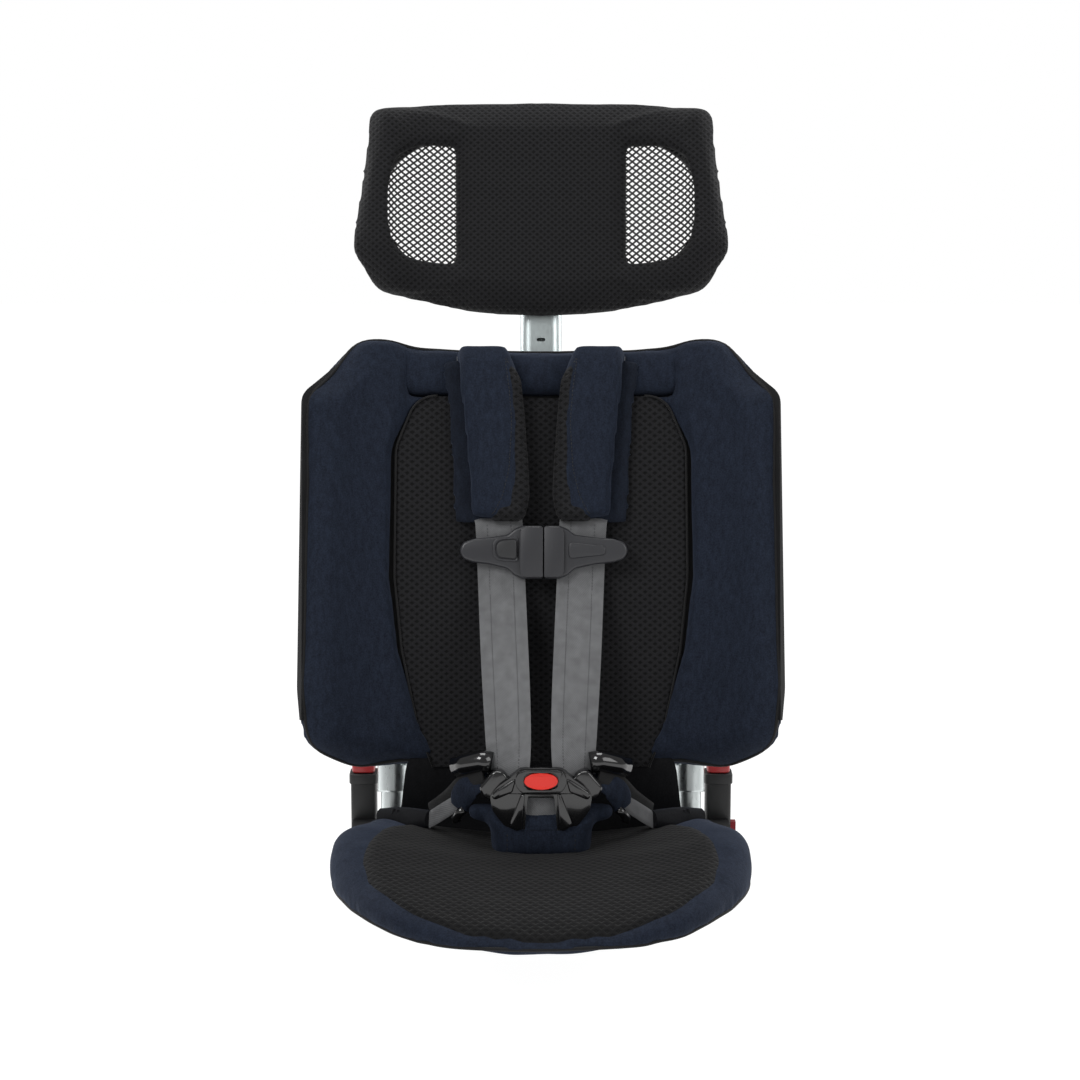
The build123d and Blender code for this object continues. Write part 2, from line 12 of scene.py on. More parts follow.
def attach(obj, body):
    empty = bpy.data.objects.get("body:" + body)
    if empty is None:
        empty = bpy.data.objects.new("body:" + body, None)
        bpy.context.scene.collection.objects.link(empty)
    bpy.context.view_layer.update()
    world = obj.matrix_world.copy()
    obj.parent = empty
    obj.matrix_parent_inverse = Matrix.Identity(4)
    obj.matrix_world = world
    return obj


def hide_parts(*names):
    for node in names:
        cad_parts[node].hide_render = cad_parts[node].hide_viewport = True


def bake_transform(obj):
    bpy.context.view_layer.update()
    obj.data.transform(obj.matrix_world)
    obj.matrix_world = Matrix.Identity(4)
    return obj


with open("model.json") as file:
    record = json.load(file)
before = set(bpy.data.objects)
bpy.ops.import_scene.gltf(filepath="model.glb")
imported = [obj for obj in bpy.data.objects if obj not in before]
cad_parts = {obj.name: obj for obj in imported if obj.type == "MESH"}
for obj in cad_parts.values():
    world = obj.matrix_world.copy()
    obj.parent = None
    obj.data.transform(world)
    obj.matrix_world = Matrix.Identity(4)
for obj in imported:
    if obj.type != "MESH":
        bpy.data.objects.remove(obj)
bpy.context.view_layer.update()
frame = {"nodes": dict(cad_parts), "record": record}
MM = 0.001
SWELL_FRAMES = 18                                      # how long each pad's cloth step runs

# ------------------------------------------------------------------ places, from the frame
joints = {j["name"]: j for j in frame["record"]["behaviour"]["joints"]}
slide_axis = Vector(joints["headrest_height"]["axis"])
LEAN = math.atan2(slide_axis.y, slide_axis.z)          # recline of the back
HINGE = Vector(joints["back_fold"]["pos_m"])
BACK_TURN = Matrix.Rotation(-LEAN, 4, "X")
HINGE_IN_BACK = Vector((0, 32.24, 26.28))              # mm, in the back's own upright frame
BACK_FOOT = HINGE - BACK_TURN @ (HINGE_IN_BACK * MM)
ORIGIN_Y = BACK_FOOT.y / MM - 45.0                     # mm between the layout and the row frame

# the back's curved section, mm, as in the CAD
WING_X, WING_Y, WING_R = 96.0, -113.0, 113.0
HEAD_X, HEAD_FACE, HEAD_R = 62.0, 12.0, 120.0


def on_back(x, y, z):
    """A point of the back's upright frame, mm, in the row frame, metres."""
    return BACK_FOOT + BACK_TURN @ (Vector((x, y, z)) * MM)


def on_base(x, y, z):
    """A point of the seat's layout, mm, in the row frame, metres."""
    return Vector((x, y + ORIGIN_Y, z)) * MM


def smooth_step(value, low, high):
    t = np.clip((value - low) / (high - low), 0.0, 1.0)
    return t * t * (3 - 2 * t)


def rounding(distance, reach):
    """A quarter circle's rise, 0 at an edge and 1 from reach inwards."""
    return np.sqrt(np.clip(1 - (1 - np.clip(distance / reach, 0, 1)) ** 2, 0, 1))


def level(height):
    """The same height for every point of a pad."""
    return lambda points: np.full(len(points), height)


def back_surface(x, t, z):
    """The back's sheet at x, t in front of the shell; x is read on the cover's visible face."""
    side = -1.0 if x < 0 else 1.0
    x = abs(x)
    if x <= WING_X:
        return on_back(side * x, -t, z)
    read_at = 99.0 + 19.0 * float(smooth_step(x, 125.0, 185.0))
    angle = math.asin(min((x - WING_X) / read_at, 0.95))
    r = WING_R - t
    return on_back(side * (WING_X + r * math.sin(angle)), WING_Y + r * math.cos(angle), z)


def head_surface(x, t, z):
    """The same for the head rest."""
    side = -1.0 if x < 0 else 1.0
    x = abs(x)
    centre_y = HEAD_FACE - HEAD_R
    if x <= HEAD_X:
        return on_back(side * x, HEAD_FACE - t, z)
    read_at = 104.0 + 21.0 * float(smooth_step(x, 110.0, 150.0))
    angle = math.asin(min((x - HEAD_X) / read_at, 0.95))
    r = HEAD_R - t
    return on_back(side * (HEAD_X + r * math.sin(angle)), centre_y + r * math.cos(angle), z)


# ------------------------------------------------------------------ outlines
def rounded(points, radii, step=3.0, closed=True):
    """A polygon whose corners are arcs, as a list of (a, b)."""
    out, n = [], len(points)
    for i in range(n):
        here = Vector(points[i])
        if not closed and i in (0, n - 1) or radii[i] <= 0:
            out.append(here)
            continue
        before, after = Vector(points[i - 1]), Vector(points[(i + 1) % n])
        a, b = (before - here).normalized(), (after - here).normalized()
        half = a.angle(b) / 2
        reach = min(radii[i] / math.tan(half), 0.49 * (before - here).length,
                    0.49 * (after - here).length)
        start, end = here + a * reach, here + b * reach
        arcs = max(2, int(radii[i] * (math.pi - 2 * half) / step))
        for k in range(arcs + 1):
            s = k / arcs
            out.append(start * (1 - s) ** 2 + here * 2 * s * (1 - s) + end * s * s)
    return [tuple(p) for p in out]


def oblong(left, right, low, high, radius):
    """A rectangle with round corners."""
    return rounded([(left, low), (right, low), (right, high), (left, high)], [radius] * 4)


def mirrored(half):
    """A closed outline from its right half, top to bottom."""
    return half + [(-x, y) for x, y in reversed(half) if abs(x) > 1e-6]


BACK_EDGE = rounded([(0, 335), (106, 337), (118, 343.5), (143, 342.5), (190.5, 295), (193.5, 60),
                     (189, 14), (146, -2), (0, -3)], [0, 8, 5, 22, 20, 80, 22, 25, 0], closed=False)
MESH_EDGE = rounded([(0, 295), (100, 297), (117, 255), (118, 150), (112, 90), (96, 28), (84, -3)],
                    [0, 24, 30, 60, 60, 60, 0], closed=False)
HEAD_EDGE = rounded([(0, 539), (70, 538), (135, 531), (153.5, 412), (128, 384), (52, 368), (0, 365)],
                    [0, 150, 13, 26, 30, 150, 0], closed=False)
WING_EDGE = ([(106, 338)]
             + [p for p in BACK_EDGE if p[0] > 108] + [(84, -3)]
             + [p for p in reversed(MESH_EDGE) if p[1] > -2.5 and p[0] > 84] + [(106, 297)])
BAND_EDGE = [(-117, 341), (-104, 337), (0, 335.5), (104, 337), (117, 341), (115, 299),
             (100, 296), (0, 295.4), (-100, 296), (-115, 299)]


def window_edge(grow=0.0, steps=20):
    """The D-shaped window, straight inner side first."""
    inner, low, high = 70 - grow, 405 - grow, 503 + grow
    middle, half = (low + high) / 2, (high - low) / 2
    bulge = 36 + grow
    arc = []
    for k in range(steps + 1):
        a = math.pi / 2 - math.pi * k / steps
        arc.append((90 + bulge * math.cos(a) ** 0.9 if abs(math.cos(a)) > 1e-6 else 90.0,
                    middle + half * math.sin(a)))
    return [(inner, low), (inner, high)] + arc


def edge_distance(points, outline):
    """Each point's distance to an outline, an array."""
    p = np.array(points)[:, None, :]
    a = np.array(outline)
    b = np.roll(a, -1, axis=0)
    d = b - a
    along = np.clip(((p - a) * d).sum(2) / np.maximum((d * d).sum(1), 1e-9), 0, 1)
    near = a + along[..., None] * d
    return np.sqrt(((p - near) ** 2).sum(2)).min(1)


# ------------------------------------------------------------------ meshes
def new_object(name, verts, faces):
    mesh = bpy.data.meshes.new(name)
    mesh.from_pydata([tuple(v) for v in verts], [], faces)
    mesh.validate()
    mesh.update()
    obj = bpy.data.objects.new(name, mesh)
    bpy.context.collection.objects.link(obj)
    return obj


def flat_cells(outline, holes=(), step=4.0):
    """An outline filled with cells about a step wide: 2-D points and faces."""
    curve = bpy.data.curves.new("fill", "CURVE")
    curve.dimensions, curve.fill_mode = "2D", "BOTH"
    for ring in [outline] + list(holes):
        spline = curve.splines.new("POLY")
        spline.points.add(len(ring) - 1)
        for point, (a, b) in zip(spline.points, ring):
            point.co = (a, b, 0, 1)
        spline.use_cyclic_u = True
    holder = bpy.data.objects.new("fill", curve)
    bpy.context.collection.objects.link(holder)
    mesh = bpy.data.meshes.new_from_object(holder)
    bm = bmesh.new()
    bm.from_mesh(mesh)
    bmesh.ops.remove_doubles(bm, verts=bm.verts, dist=0.01)
    a, b = np.array(outline).min(0), np.array(outline).max(0)
    for axis in (0, 1):
        normal = (1, 0, 0) if axis == 0 else (0, 1, 0)
        cuts = int((b[axis] - a[axis]) / step)
        for k in range(1, cuts):
            place = [0, 0, 0]
            place[axis] = a[axis] + (b[axis] - a[axis]) * k / cuts
            bmesh.ops.bisect_plane(bm, geom=bm.verts[:] + bm.edges[:] + bm.faces[:],
                                   plane_co=place, plane_no=normal)
    bmesh.ops.dissolve_degenerate(bm, edges=bm.edges, dist=0.05)
    bmesh.ops.remove_doubles(bm, verts=bm.verts, dist=0.3)
    bm.verts.index_update()
    points = [(v.co.x, v.co.y) for v in bm.verts]
    faces = [[v.index for v in f.verts] for f in bm.faces]
    rim = [(e.verts[0].index, e.verts[1].index) for e in bm.edges if len(e.link_faces) == 1]
    bm.free()
    bpy.data.meshes.remove(mesh)
    bpy.data.objects.remove(holder)
    bpy.data.curves.remove(curve)
    return points, faces, rim


def slab(name, outline, place, front, back, holes=(), step=4.0):
    """A closed pad over an outline. front and back give the height from each point's edge distances."""
    points, faces, rim = flat_cells(outline, holes, step)
    tops, bottoms = front(points), back(points)
    n = len(points)
    verts = [place(a, t, b) for (a, b), t in zip(points, tops)]
    verts += [place(a, t, b) for (a, b), t in zip(points, bottoms)]
    body = [list(f) for f in faces] + [[i + n for i in reversed(f)] for f in faces]
    body += [[i, j, j + n, i + n] for i, j in rim]
    obj = new_object(name, verts, body)
    tidy_normals(obj)
    return obj


def tidy_normals(obj):
    bm = bmesh.new()
    bm.from_mesh(obj.data)
    bmesh.ops.recalc_face_normals(bm, faces=bm.faces)
    bm.to_mesh(obj.data)
    bm.free()


def apply_modifiers(obj):
    """The object's mesh as its modifiers leave it, with none left."""
    graph = bpy.context.evaluated_depsgraph_get()
    done = bpy.data.meshes.new_from_object(obj.evaluated_get(graph))
    old = obj.data
    obj.modifiers.clear()
    obj.data = done
    done.name = obj.name
    bpy.data.meshes.remove(old)


def remesh(obj, voxel, smooth):
    mod = obj.modifiers.new("remesh", "REMESH")
    mod.mode, mod.voxel_size = "VOXEL", voxel * MM
    soft = obj.modifiers.new("smooth", "SMOOTH")
    soft.factor, soft.iterations = 0.5, smooth
    apply_modifiers(obj)


def coords(mesh):
    flat = np.empty(len(mesh.vertices) * 3)
    mesh.vertices.foreach_get("co", flat)
    return flat.reshape(-1, 3)


def set_coords(mesh, array):
    mesh.vertices.foreach_set("co", array.reshape(-1))
    mesh.update()


def inflate(obj, pressure, cap):
    """Cloth with pressure, applied, no point moving further than cap, mm."""
    start = coords(obj.data)
    cloth = obj.modifiers.new("cloth", "CLOTH")
    set_ = cloth.settings
    set_.use_pressure, set_.uniform_pressure_force = True, pressure
    set_.tension_stiffness = set_.compression_stiffness = 20
    set_.shear_stiffness, set_.bending_stiffness = 10, 2.0
    set_.effector_weights.gravity = 0
    set_.quality = 5
    cloth.point_cache.frame_start, cloth.point_cache.frame_end = 1, SWELL_FRAMES
    scene = bpy.context.scene
    for f in range(1, SWELL_FRAMES + 1):
        scene.frame_set(f)
    apply_modifiers(obj)
    scene.frame_set(1)
    moved = coords(obj.data) - start
    size = np.linalg.norm(moved, axis=1, keepdims=True)
    limit = cap * MM
    moved *= np.where(size > limit, limit / np.maximum(size, 1e-12), 1.0)
    set_coords(obj.data, start + moved)


def subdivide(obj):
    mod = obj.modifiers.new("subdivision", "SUBSURF")
    mod.levels = mod.render_levels = 1
    apply_modifiers(obj)


def shade_smooth(obj, angle=None):
    obj.data.polygons.foreach_set("use_smooth", [True] * len(obj.data.polygons))
    if angle is not None:
        obj.data.set_sharp_from_angle(angle=math.radians(angle))
    obj.data.update()


def crumple(obj, depth, size, seed):
    """Small hollows and folds along the normals. depth and size in mm."""
    verts = obj.data.vertices
    obj.data.update()
    normals = [v.normal.copy() for v in verts]
    for i, v in enumerate(verts):
        p = v.co / (size * MM) + Vector((seed, 2.3 * seed, 0.7))
        amount = noise.noise(p) + 0.5 * noise.noise(p * 2.1)
        v.co += normals[i] * amount * depth * MM
    obj.data.update()


def upholster(obj, material, voxel, smooth, swell, wrinkle):
    """A drawn slab made into a sewn pad: swell is (pressure, cap), wrinkle (depth, size, seed)."""
    remesh(obj, voxel, smooth)
    inflate(obj, *swell)
    subdivide(obj)
    crumple(obj, *wrinkle)
    shade_smooth(obj)
    dress(obj, material)


def mirror_piece(obj, name):
    """A mirror image in x."""
    mesh = obj.data.copy()
    mesh.name = name
    array = coords(mesh)
    array[:, 0] *= -1
    set_coords(mesh, array)
    mesh.flip_normals()
    twin = bpy.data.objects.new(name, mesh)
    bpy.context.collection.objects.link(twin)
    return twin


def tube_along(name, points, radius, sides=8, closed=False):
    """A round cord through points, metres."""
    pts = [Vector(p) for p in points]
    n = len(pts)
    verts, faces = [], []
    normal = None
    for i, p in enumerate(pts):
        a = pts[(i + 1) % n] if closed else pts[min(i + 1, n - 1)]
        b = pts[i - 1] if closed else pts[max(i - 1, 0)]
        along = (a - b).normalized()
        if normal is None:
            normal = along.orthogonal().normalized()
        normal = (normal - along * normal.dot(along)).normalized()
        other = along.cross(normal)
        for k in range(sides):
            ang = 2 * math.pi * k / sides
            verts.append(p + (normal * math.cos(ang) + other * math.sin(ang)) * radius * MM)
    rings = n if closed else n - 1
    for i in range(rings):
        for k in range(sides):
            j, m = (i + 1) % n, (k + 1) % sides
            faces.append([i * sides + k, i * sides + m, j * sides + m, j * sides + k])
    if not closed:
        faces.append(list(range(sides))[::-1])
        faces.append([(n - 1) * sides + k for k in range(sides)])
    obj = new_object(name, verts, faces)
    tidy_normals(obj)
    shade_smooth(obj)
    return obj


def surface_of(*objects):
    """One search tree over finished pieces, in the scene's frame."""
    verts, faces = [], []
    for obj in objects:
        start = len(verts)
        verts += [obj.matrix_world @ v.co for v in obj.data.vertices]
        faces += [[i + start for i in p.vertices] for p in obj.data.polygons]
    return BVHTree.FromPolygons(verts, faces)


def even(points, rounds=3, closed=False):
    """The same path with its small kinks averaged out."""
    pts = [Vector(p) for p in points]
    for _ in range(rounds):
        n = len(pts)
        pts = [p if not closed and i in (0, n - 1) else (pts[i - 1] + p * 2 + pts[(i + 1) % n]) / 4
               for i, p in enumerate(pts)]
    return pts


def spaced(points, pitch):
    """Points at an even pitch, metres, along a line of points, with the direction at each."""
    pts = np.array([tuple(p) for p in points])
    runs = np.linalg.norm(np.diff(pts, axis=0), axis=1)
    total = np.concatenate([[0], np.cumsum(runs)])
    count = max(2, int(total[-1] / (pitch * MM)))
    places = (np.arange(count) + 0.5) * total[-1] / count
    out = np.stack([np.interp(places, total, pts[:, k]) for k in range(3)], 1)
    ahead = np.stack([np.interp(places + 5e-4, total, pts[:, k]) for k in range(3)], 1)
    behind = np.stack([np.interp(places - 5e-4, total, pts[:, k]) for k in range(3)], 1)
    return [(Vector(p), (Vector(a) - Vector(b)).normalized()) for p, a, b in zip(out, ahead, behind)]


def stitches(name, lines, over, pitch, length=2.2, radius=0.32):
    """Thread stitches along lines of points, laid on the surface of another piece."""
    tree = BVHTree.FromObject(over, bpy.context.evaluated_depsgraph_get())
    verts, faces = [], []
    for line in lines:
        for p, along in spaced(line, pitch):
            place, normal = tree.find_nearest(p)[:2]
            along = (along - normal * along.dot(normal)).normalized()
            side = along.cross(normal)
            first = len(verts)
            for s in (-1, -0.7, 0, 0.7, 1):
                dip = 0.15 - 0.35 * abs(s) ** 3
                grow = 1.0 if abs(s) < 1 else 0.45
                for ang in (0, 72, 144, 216, 288):
                    c, q = math.cos(math.radians(ang)), math.sin(math.radians(ang))
                    verts.append(place + along * (s * length / 2 * MM)
                                 + (side * c + normal * q) * radius * grow * MM
                                 + normal * dip * MM)
            for ring in range(4):
                for k in range(5):
                    m = (k + 1) % 5
                    faces.append([first + ring * 5 + k, first + ring * 5 + m,
                                  first + ring * 5 + 5 + m, first + ring * 5 + 5 + k])
            faces.append([first + k for k in range(4, -1, -1)])
            faces.append([first + 20 + k for k in range(5)])
    obj = new_object(name, verts, faces)
    shade_smooth(obj)
    return obj


def join(name, objects):
    """Several meshes made into one piece."""
    bm = bmesh.new()
    slots = []
    for obj in objects:
        offset = len(slots)
        slots += [s for s in obj.data.materials]
        start = len(bm.faces)
        bm.from_mesh(obj.data)
        bm.faces.ensure_lookup_table()
        for f in bm.faces[start:]:
            f.material_index += offset
    mesh = bpy.data.meshes.new(name)
    bm.to_mesh(mesh)
    bm.free()
    for s in slots:
        mesh.materials.append(s)
    for obj in objects:
        bpy.data.objects.remove(obj)
    out = bpy.data.objects.new(name, mesh)
    bpy.context.collection.objects.link(out)
    return out


def moulded(name, outline, place, near, far, bevel, holes=(), dome=0.0):
    """A moulded piece: an outline in (a, b) given depth from near to far, its edges rounded."""
    points, faces, rim = flat_cells(outline, holes, 400.0)
    ring = np.array(outline)
    centre = (ring.min(0) + ring.max(0)) / 2
    reach = np.linalg.norm(ring - centre, axis=1).max()
    n = len(points)
    verts = [place(a, near - dome * (1 - ((a - centre[0]) ** 2 + (b - centre[1]) ** 2) / reach ** 2), b)
             for a, b in points]
    verts += [place(a, far, b) for a, b in points]
    body = [list(f) for f in faces] + [[i + n for i in reversed(f)] for f in faces]
    body += [[i, j, j + n, i + n] for i, j in rim]
    obj = new_object(name, verts, body)
    tidy_normals(obj)
    bm = bmesh.new()
    bm.from_mesh(obj.data)
    bmesh.ops.dissolve_limit(bm, angle_limit=math.radians(2), verts=bm.verts, edges=bm.edges)
    bm.to_mesh(obj.data)
    bm.free()
    mod = obj.modifiers.new("bevel", "BEVEL")
    mod.width, mod.segments = bevel * MM, 3
    mod.limit_method, mod.angle_limit = "ANGLE", math.radians(35)
    apply_modifiers(obj)
    shade_smooth(obj, 40)
    return obj


# ------------------------------------------------------------------ materials
class Nodes:
    """A material's node tree, with short calls for the nodes used here."""

    def __init__(self, name, **values):
        self.material = bpy.data.materials.new(name)
        self.material.use_nodes = True
        self.tree = self.material.node_tree
        self.shader = self.tree.nodes["Principled BSDF"]
        for key, value in values.items():
            self.shader.inputs[key.replace("_", " ")].default_value = value
        self.place = self.tree.nodes.new("ShaderNodeTexCoord").outputs["Object"]

    def node(self, kind, **links):
        made = self.tree.nodes.new("ShaderNode" + kind)
        for key, value in links.items():
            self.feed(made.inputs[key.replace("_", " ")], value)
        return made

    def feed(self, socket, value):
        if isinstance(value, bpy.types.NodeSocket):
            self.tree.links.new(value, socket)
        else:
            socket.default_value = value

    def math(self, kind, a, b=0.0, c=0.0):
        made = self.tree.nodes.new("ShaderNodeMath")
        made.operation = kind
        for socket, value in zip(made.inputs, (a, b, c)):
            self.feed(socket, value)
        return made.outputs[0]

    def noise(self, scale, detail=3.0, stretch=None):
        vector = self.place
        if stretch is not None:
            vector = self.node("Mapping", Vector=self.place, Scale=stretch).outputs[0]
        return self.node("TexNoise", Vector=vector, Scale=scale, Detail=detail).outputs["Fac"]

    def along(self, direction):
        """How far a point lies along a direction, in metres."""
        made = self.tree.nodes.new("ShaderNodeVectorMath")
        made.operation = "DOT_PRODUCT"
        self.feed(made.inputs[0], self.place)
        made.inputs[1].default_value = direction
        return made.outputs["Value"]

    def ramp(self, value, low, high, to_low=0.0, to_high=1.0):
        made = self.node("MapRange", Value=value)
        for key, number in (("From Min", low), ("From Max", high), ("To Min", to_low),
                            ("To Max", to_high)):
            made.inputs[key].default_value = number
        return made.outputs[0]

    def colour(self, fac, first, second):
        made = self.tree.nodes.new("ShaderNodeMix")
        made.data_type = "RGBA"
        self.feed(made.inputs["Factor"], fac)
        self.feed(made.inputs[6], (*first, 1) if isinstance(first, tuple) else first)
        self.feed(made.inputs[7], (*second, 1) if isinstance(second, tuple) else second)
        return made.outputs[2]

    def finish(self, colour, height, strength, depth, rough=None):
        """Wires colour, bump height and roughness, the first and last only if given."""
        if colour is not None:
            self.feed(self.shader.inputs["Base Color"], colour)
        if rough is not None:
            self.feed(self.shader.inputs["Roughness"], rough)
        bump = self.node("Bump", Height=height)
        bump.inputs["Strength"].default_value = strength
        bump.inputs["Distance"].default_value = depth
        self.feed(self.shader.inputs["Normal"], bump.outputs[0])
        return self.material


def knit_fabric(name, dark, light, sheen):
    """Heathered knit: flecked colour, fine rounded stitches."""
    m = Nodes(name, Roughness=0.92, Sheen_Weight=sheen, Sheen_Roughness=0.5,
              Specular_IOR_Level=0.2)
    m.shader.inputs["Sheen Tint"].default_value = (0.25, 0.32, 0.5, 1)
    fleck = m.ramp(m.noise(900, 2), 0.35, 0.68)
    streak = m.ramp(m.noise(300, 3, (1, 1, 0.35)), 0.35, 0.7)
    mixed = m.math("MULTIPLY_ADD", fleck, 0.6, m.math("MULTIPLY", streak, 0.4))
    cells = m.node("TexVoronoi", Vector=m.place, Scale=1100.0).outputs["Distance"]
    return m.finish(m.colour(mixed, dark, light), cells, 0.35, 0.0004)


def lattice(m, u, v, cell_u, cell_v, width):
    """Threads of a diamond lattice, 1 on a thread and 0 in a hole."""
    threads = []
    for sign in (1.0, -1.0):
        wave = m.math("ADD", m.math("MULTIPLY", u, 1 / (cell_u * MM)),
                      m.math("MULTIPLY", v, sign / (cell_v * MM)))
        near = m.math("PINGPONG", wave, 0.5)
        threads.append(m.ramp(near, width, width + 0.12, 1.0, 0.0))
    return m.math("MAXIMUM", threads[0], threads[1])


def spacer_mesh(name, down, cell=(8.0, 6.0), width=0.17, thread=(0.011, 0.011, 0.0125)):
    """Black three-dimensional mesh: a lattice of cords over dark holes."""
    m = Nodes(name, Roughness=0.8, Sheen_Weight=0.04, Specular_IOR_Level=0.18)
    threads = lattice(m, m.along((1, 0, 0)), m.along(down), cell[0], cell[1], width)
    fleck = m.ramp(m.noise(700, 2), 0.3, 0.7, 0.65, 1.0)
    weight = m.math("MULTIPLY", threads, fleck)
    fine = m.math("MULTIPLY", m.noise(1500, 2), 0.12)
    shade = m.colour(weight, (0.0012, 0.0012, 0.0015), thread)
    return m.finish(shade, m.math("ADD", threads, fine), 0.7, 0.0012)


def webbing(name, dark, light):
    """Harness webbing: a fine twill, a little worn."""
    m = Nodes(name, Roughness=0.72, Sheen_Weight=0.08, Specular_IOR_Level=0.25)
    twill = m.node("TexWave", Vector=m.place, Scale=330.0, Distortion=0.6)
    twill.wave_type, twill.bands_direction = "BANDS", "DIAGONAL"
    fine = twill.outputs["Fac"]
    wear = m.ramp(m.noise(120, 4), 0.3, 0.75)
    shade = m.math("MULTIPLY_ADD", fine, 0.35, m.math("MULTIPLY", wear, 0.5))
    return m.finish(m.colour(shade, dark, light), fine, 0.3, 0.0004)


def plastic(name, colour, rough=0.45, grain=900.0, strength=0.12, coat=0.0):
    """Moulded plastic with a fine grain."""
    m = Nodes(name, Coat_Weight=coat)
    m.shader.inputs["Base Color"].default_value = (*colour, 1)
    grains = m.noise(grain, 3)
    smudge = m.ramp(m.noise(25, 4), 0.3, 0.7, rough - 0.05, rough + 0.07)
    return m.finish(None, grains, strength, 0.0003, smudge)


def brushed_metal(name, colour, direction, rough=0.3):
    """Anodised tube, drawn along one direction."""
    m = Nodes(name, Metallic=1.0)
    stretch = tuple(0.06 if abs(d) > 0.5 else 1.0 for d in direction)
    lines = m.noise(900, 2, stretch)
    tone = m.colour(m.ramp(m.noise(18, 3), 0.3, 0.7), tuple(0.86 * c for c in colour), colour)
    return m.finish(tone, lines, 0.06, 0.0002, m.ramp(lines, 0.2, 0.8, rough - 0.06, rough + 0.1))


UP_BACK = tuple(slide_axis)
MAT = {
    "navy": knit_fabric("navy_knit", (0.0035, 0.0055, 0.0115), (0.013, 0.019, 0.034), 0.12),
    # a darker copy of the navy knit, for the flaps behind the shoulder pads: painted shade
    "navy_painted_shade": knit_fabric("navy_knit_painted_shade", (0.003, 0.0045, 0.009), (0.009, 0.013, 0.023), 0.1),
    "black": knit_fabric("black_knit", (0.0015, 0.0015, 0.0018), (0.006, 0.006, 0.007), 0.06),
    "mesh_back": spacer_mesh("mesh_back", UP_BACK),
    # the seat mesh's threads are a darker copy of the back mesh's: painted shade over the seat's hollow
    "mesh_seat_painted_shade": spacer_mesh("mesh_seat_painted_shade", (0, -0.9, -0.6), cell=(8.0, 7.0),
                             thread=(0.0035, 0.0035, 0.004)),
    "mesh_head": spacer_mesh("mesh_head", UP_BACK, cell=(6.0, 5.0), width=0.16),
    "net": plastic("net_thread", (0.003, 0.003, 0.0035), 0.6),
    "binding": webbing("black_binding", (0.002, 0.002, 0.0023), (0.007, 0.007, 0.008)),
    "webbing": webbing("grey_webbing", (0.085, 0.086, 0.089), (0.165, 0.168, 0.174)),
    "thread_grey": plastic("grey_thread", (0.05, 0.05, 0.053), 0.6),
    "thread_black": plastic("black_thread", (0.006, 0.006, 0.007), 0.7),
    "clip": plastic("clip_plastic", (0.024, 0.0245, 0.028), 0.38, 700.0, 0.08),
    "button": plastic("clip_button_plastic", (0.022, 0.0225, 0.024), 0.42, 700.0, 0.08),
    "gloss": plastic("gloss_black", (0.003, 0.003, 0.0035), 0.12, 500.0, 0.02, 0.6),
    "red": plastic("red_gloss", (0.80, 0.022, 0.010), 0.34, 500.0, 0.02, 0.1),
    "red_dark": plastic("red_dark_plastic", (0.33, 0.012, 0.014), 0.36, 500.0, 0.02, 0.1),
    "red_cloth": webbing("red_ribbon", (0.16, 0.01, 0.015), (0.3, 0.02, 0.03)),
    "case": plastic("grained_black", (0.005, 0.005, 0.0055), 0.5, 1100.0, 0.3),
    "grip": plastic("grip_plastic_grey", (0.05, 0.05, 0.054), 0.45, 900.0, 0.2),
    "rubber": plastic("foot_rubber_black", (0.016, 0.016, 0.016), 0.8, 800.0, 0.25),
    "tube_up": brushed_metal("tube_upright", (0.74, 0.79, 0.79), (0, 0, 1)),
    "tube_across": brushed_metal("tube_across", (0.74, 0.79, 0.79), (1, 0, 0)),
    "tube_floor": brushed_metal("tube_floor", (0.74, 0.79, 0.79), (0, 1, 0)),
    "post": brushed_metal("post_metal", (0.66, 0.73, 0.73), (0, 0, 1), 0.34),
    "steel": brushed_metal("zinc_steel", (0.6, 0.6, 0.6), (1, 0, 0), 0.36),
}


def dress(obj, material):
    obj.data.materials.clear()
    obj.data.materials.append(MAT[material])
    return obj


def place_on(obj, body, slot=None, replaced=()):
    """Rides, and says which CAD nodes the piece stands for; the slot is not used."""
    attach(obj, body)
    if replaced:
        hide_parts(*replaced)
    return obj


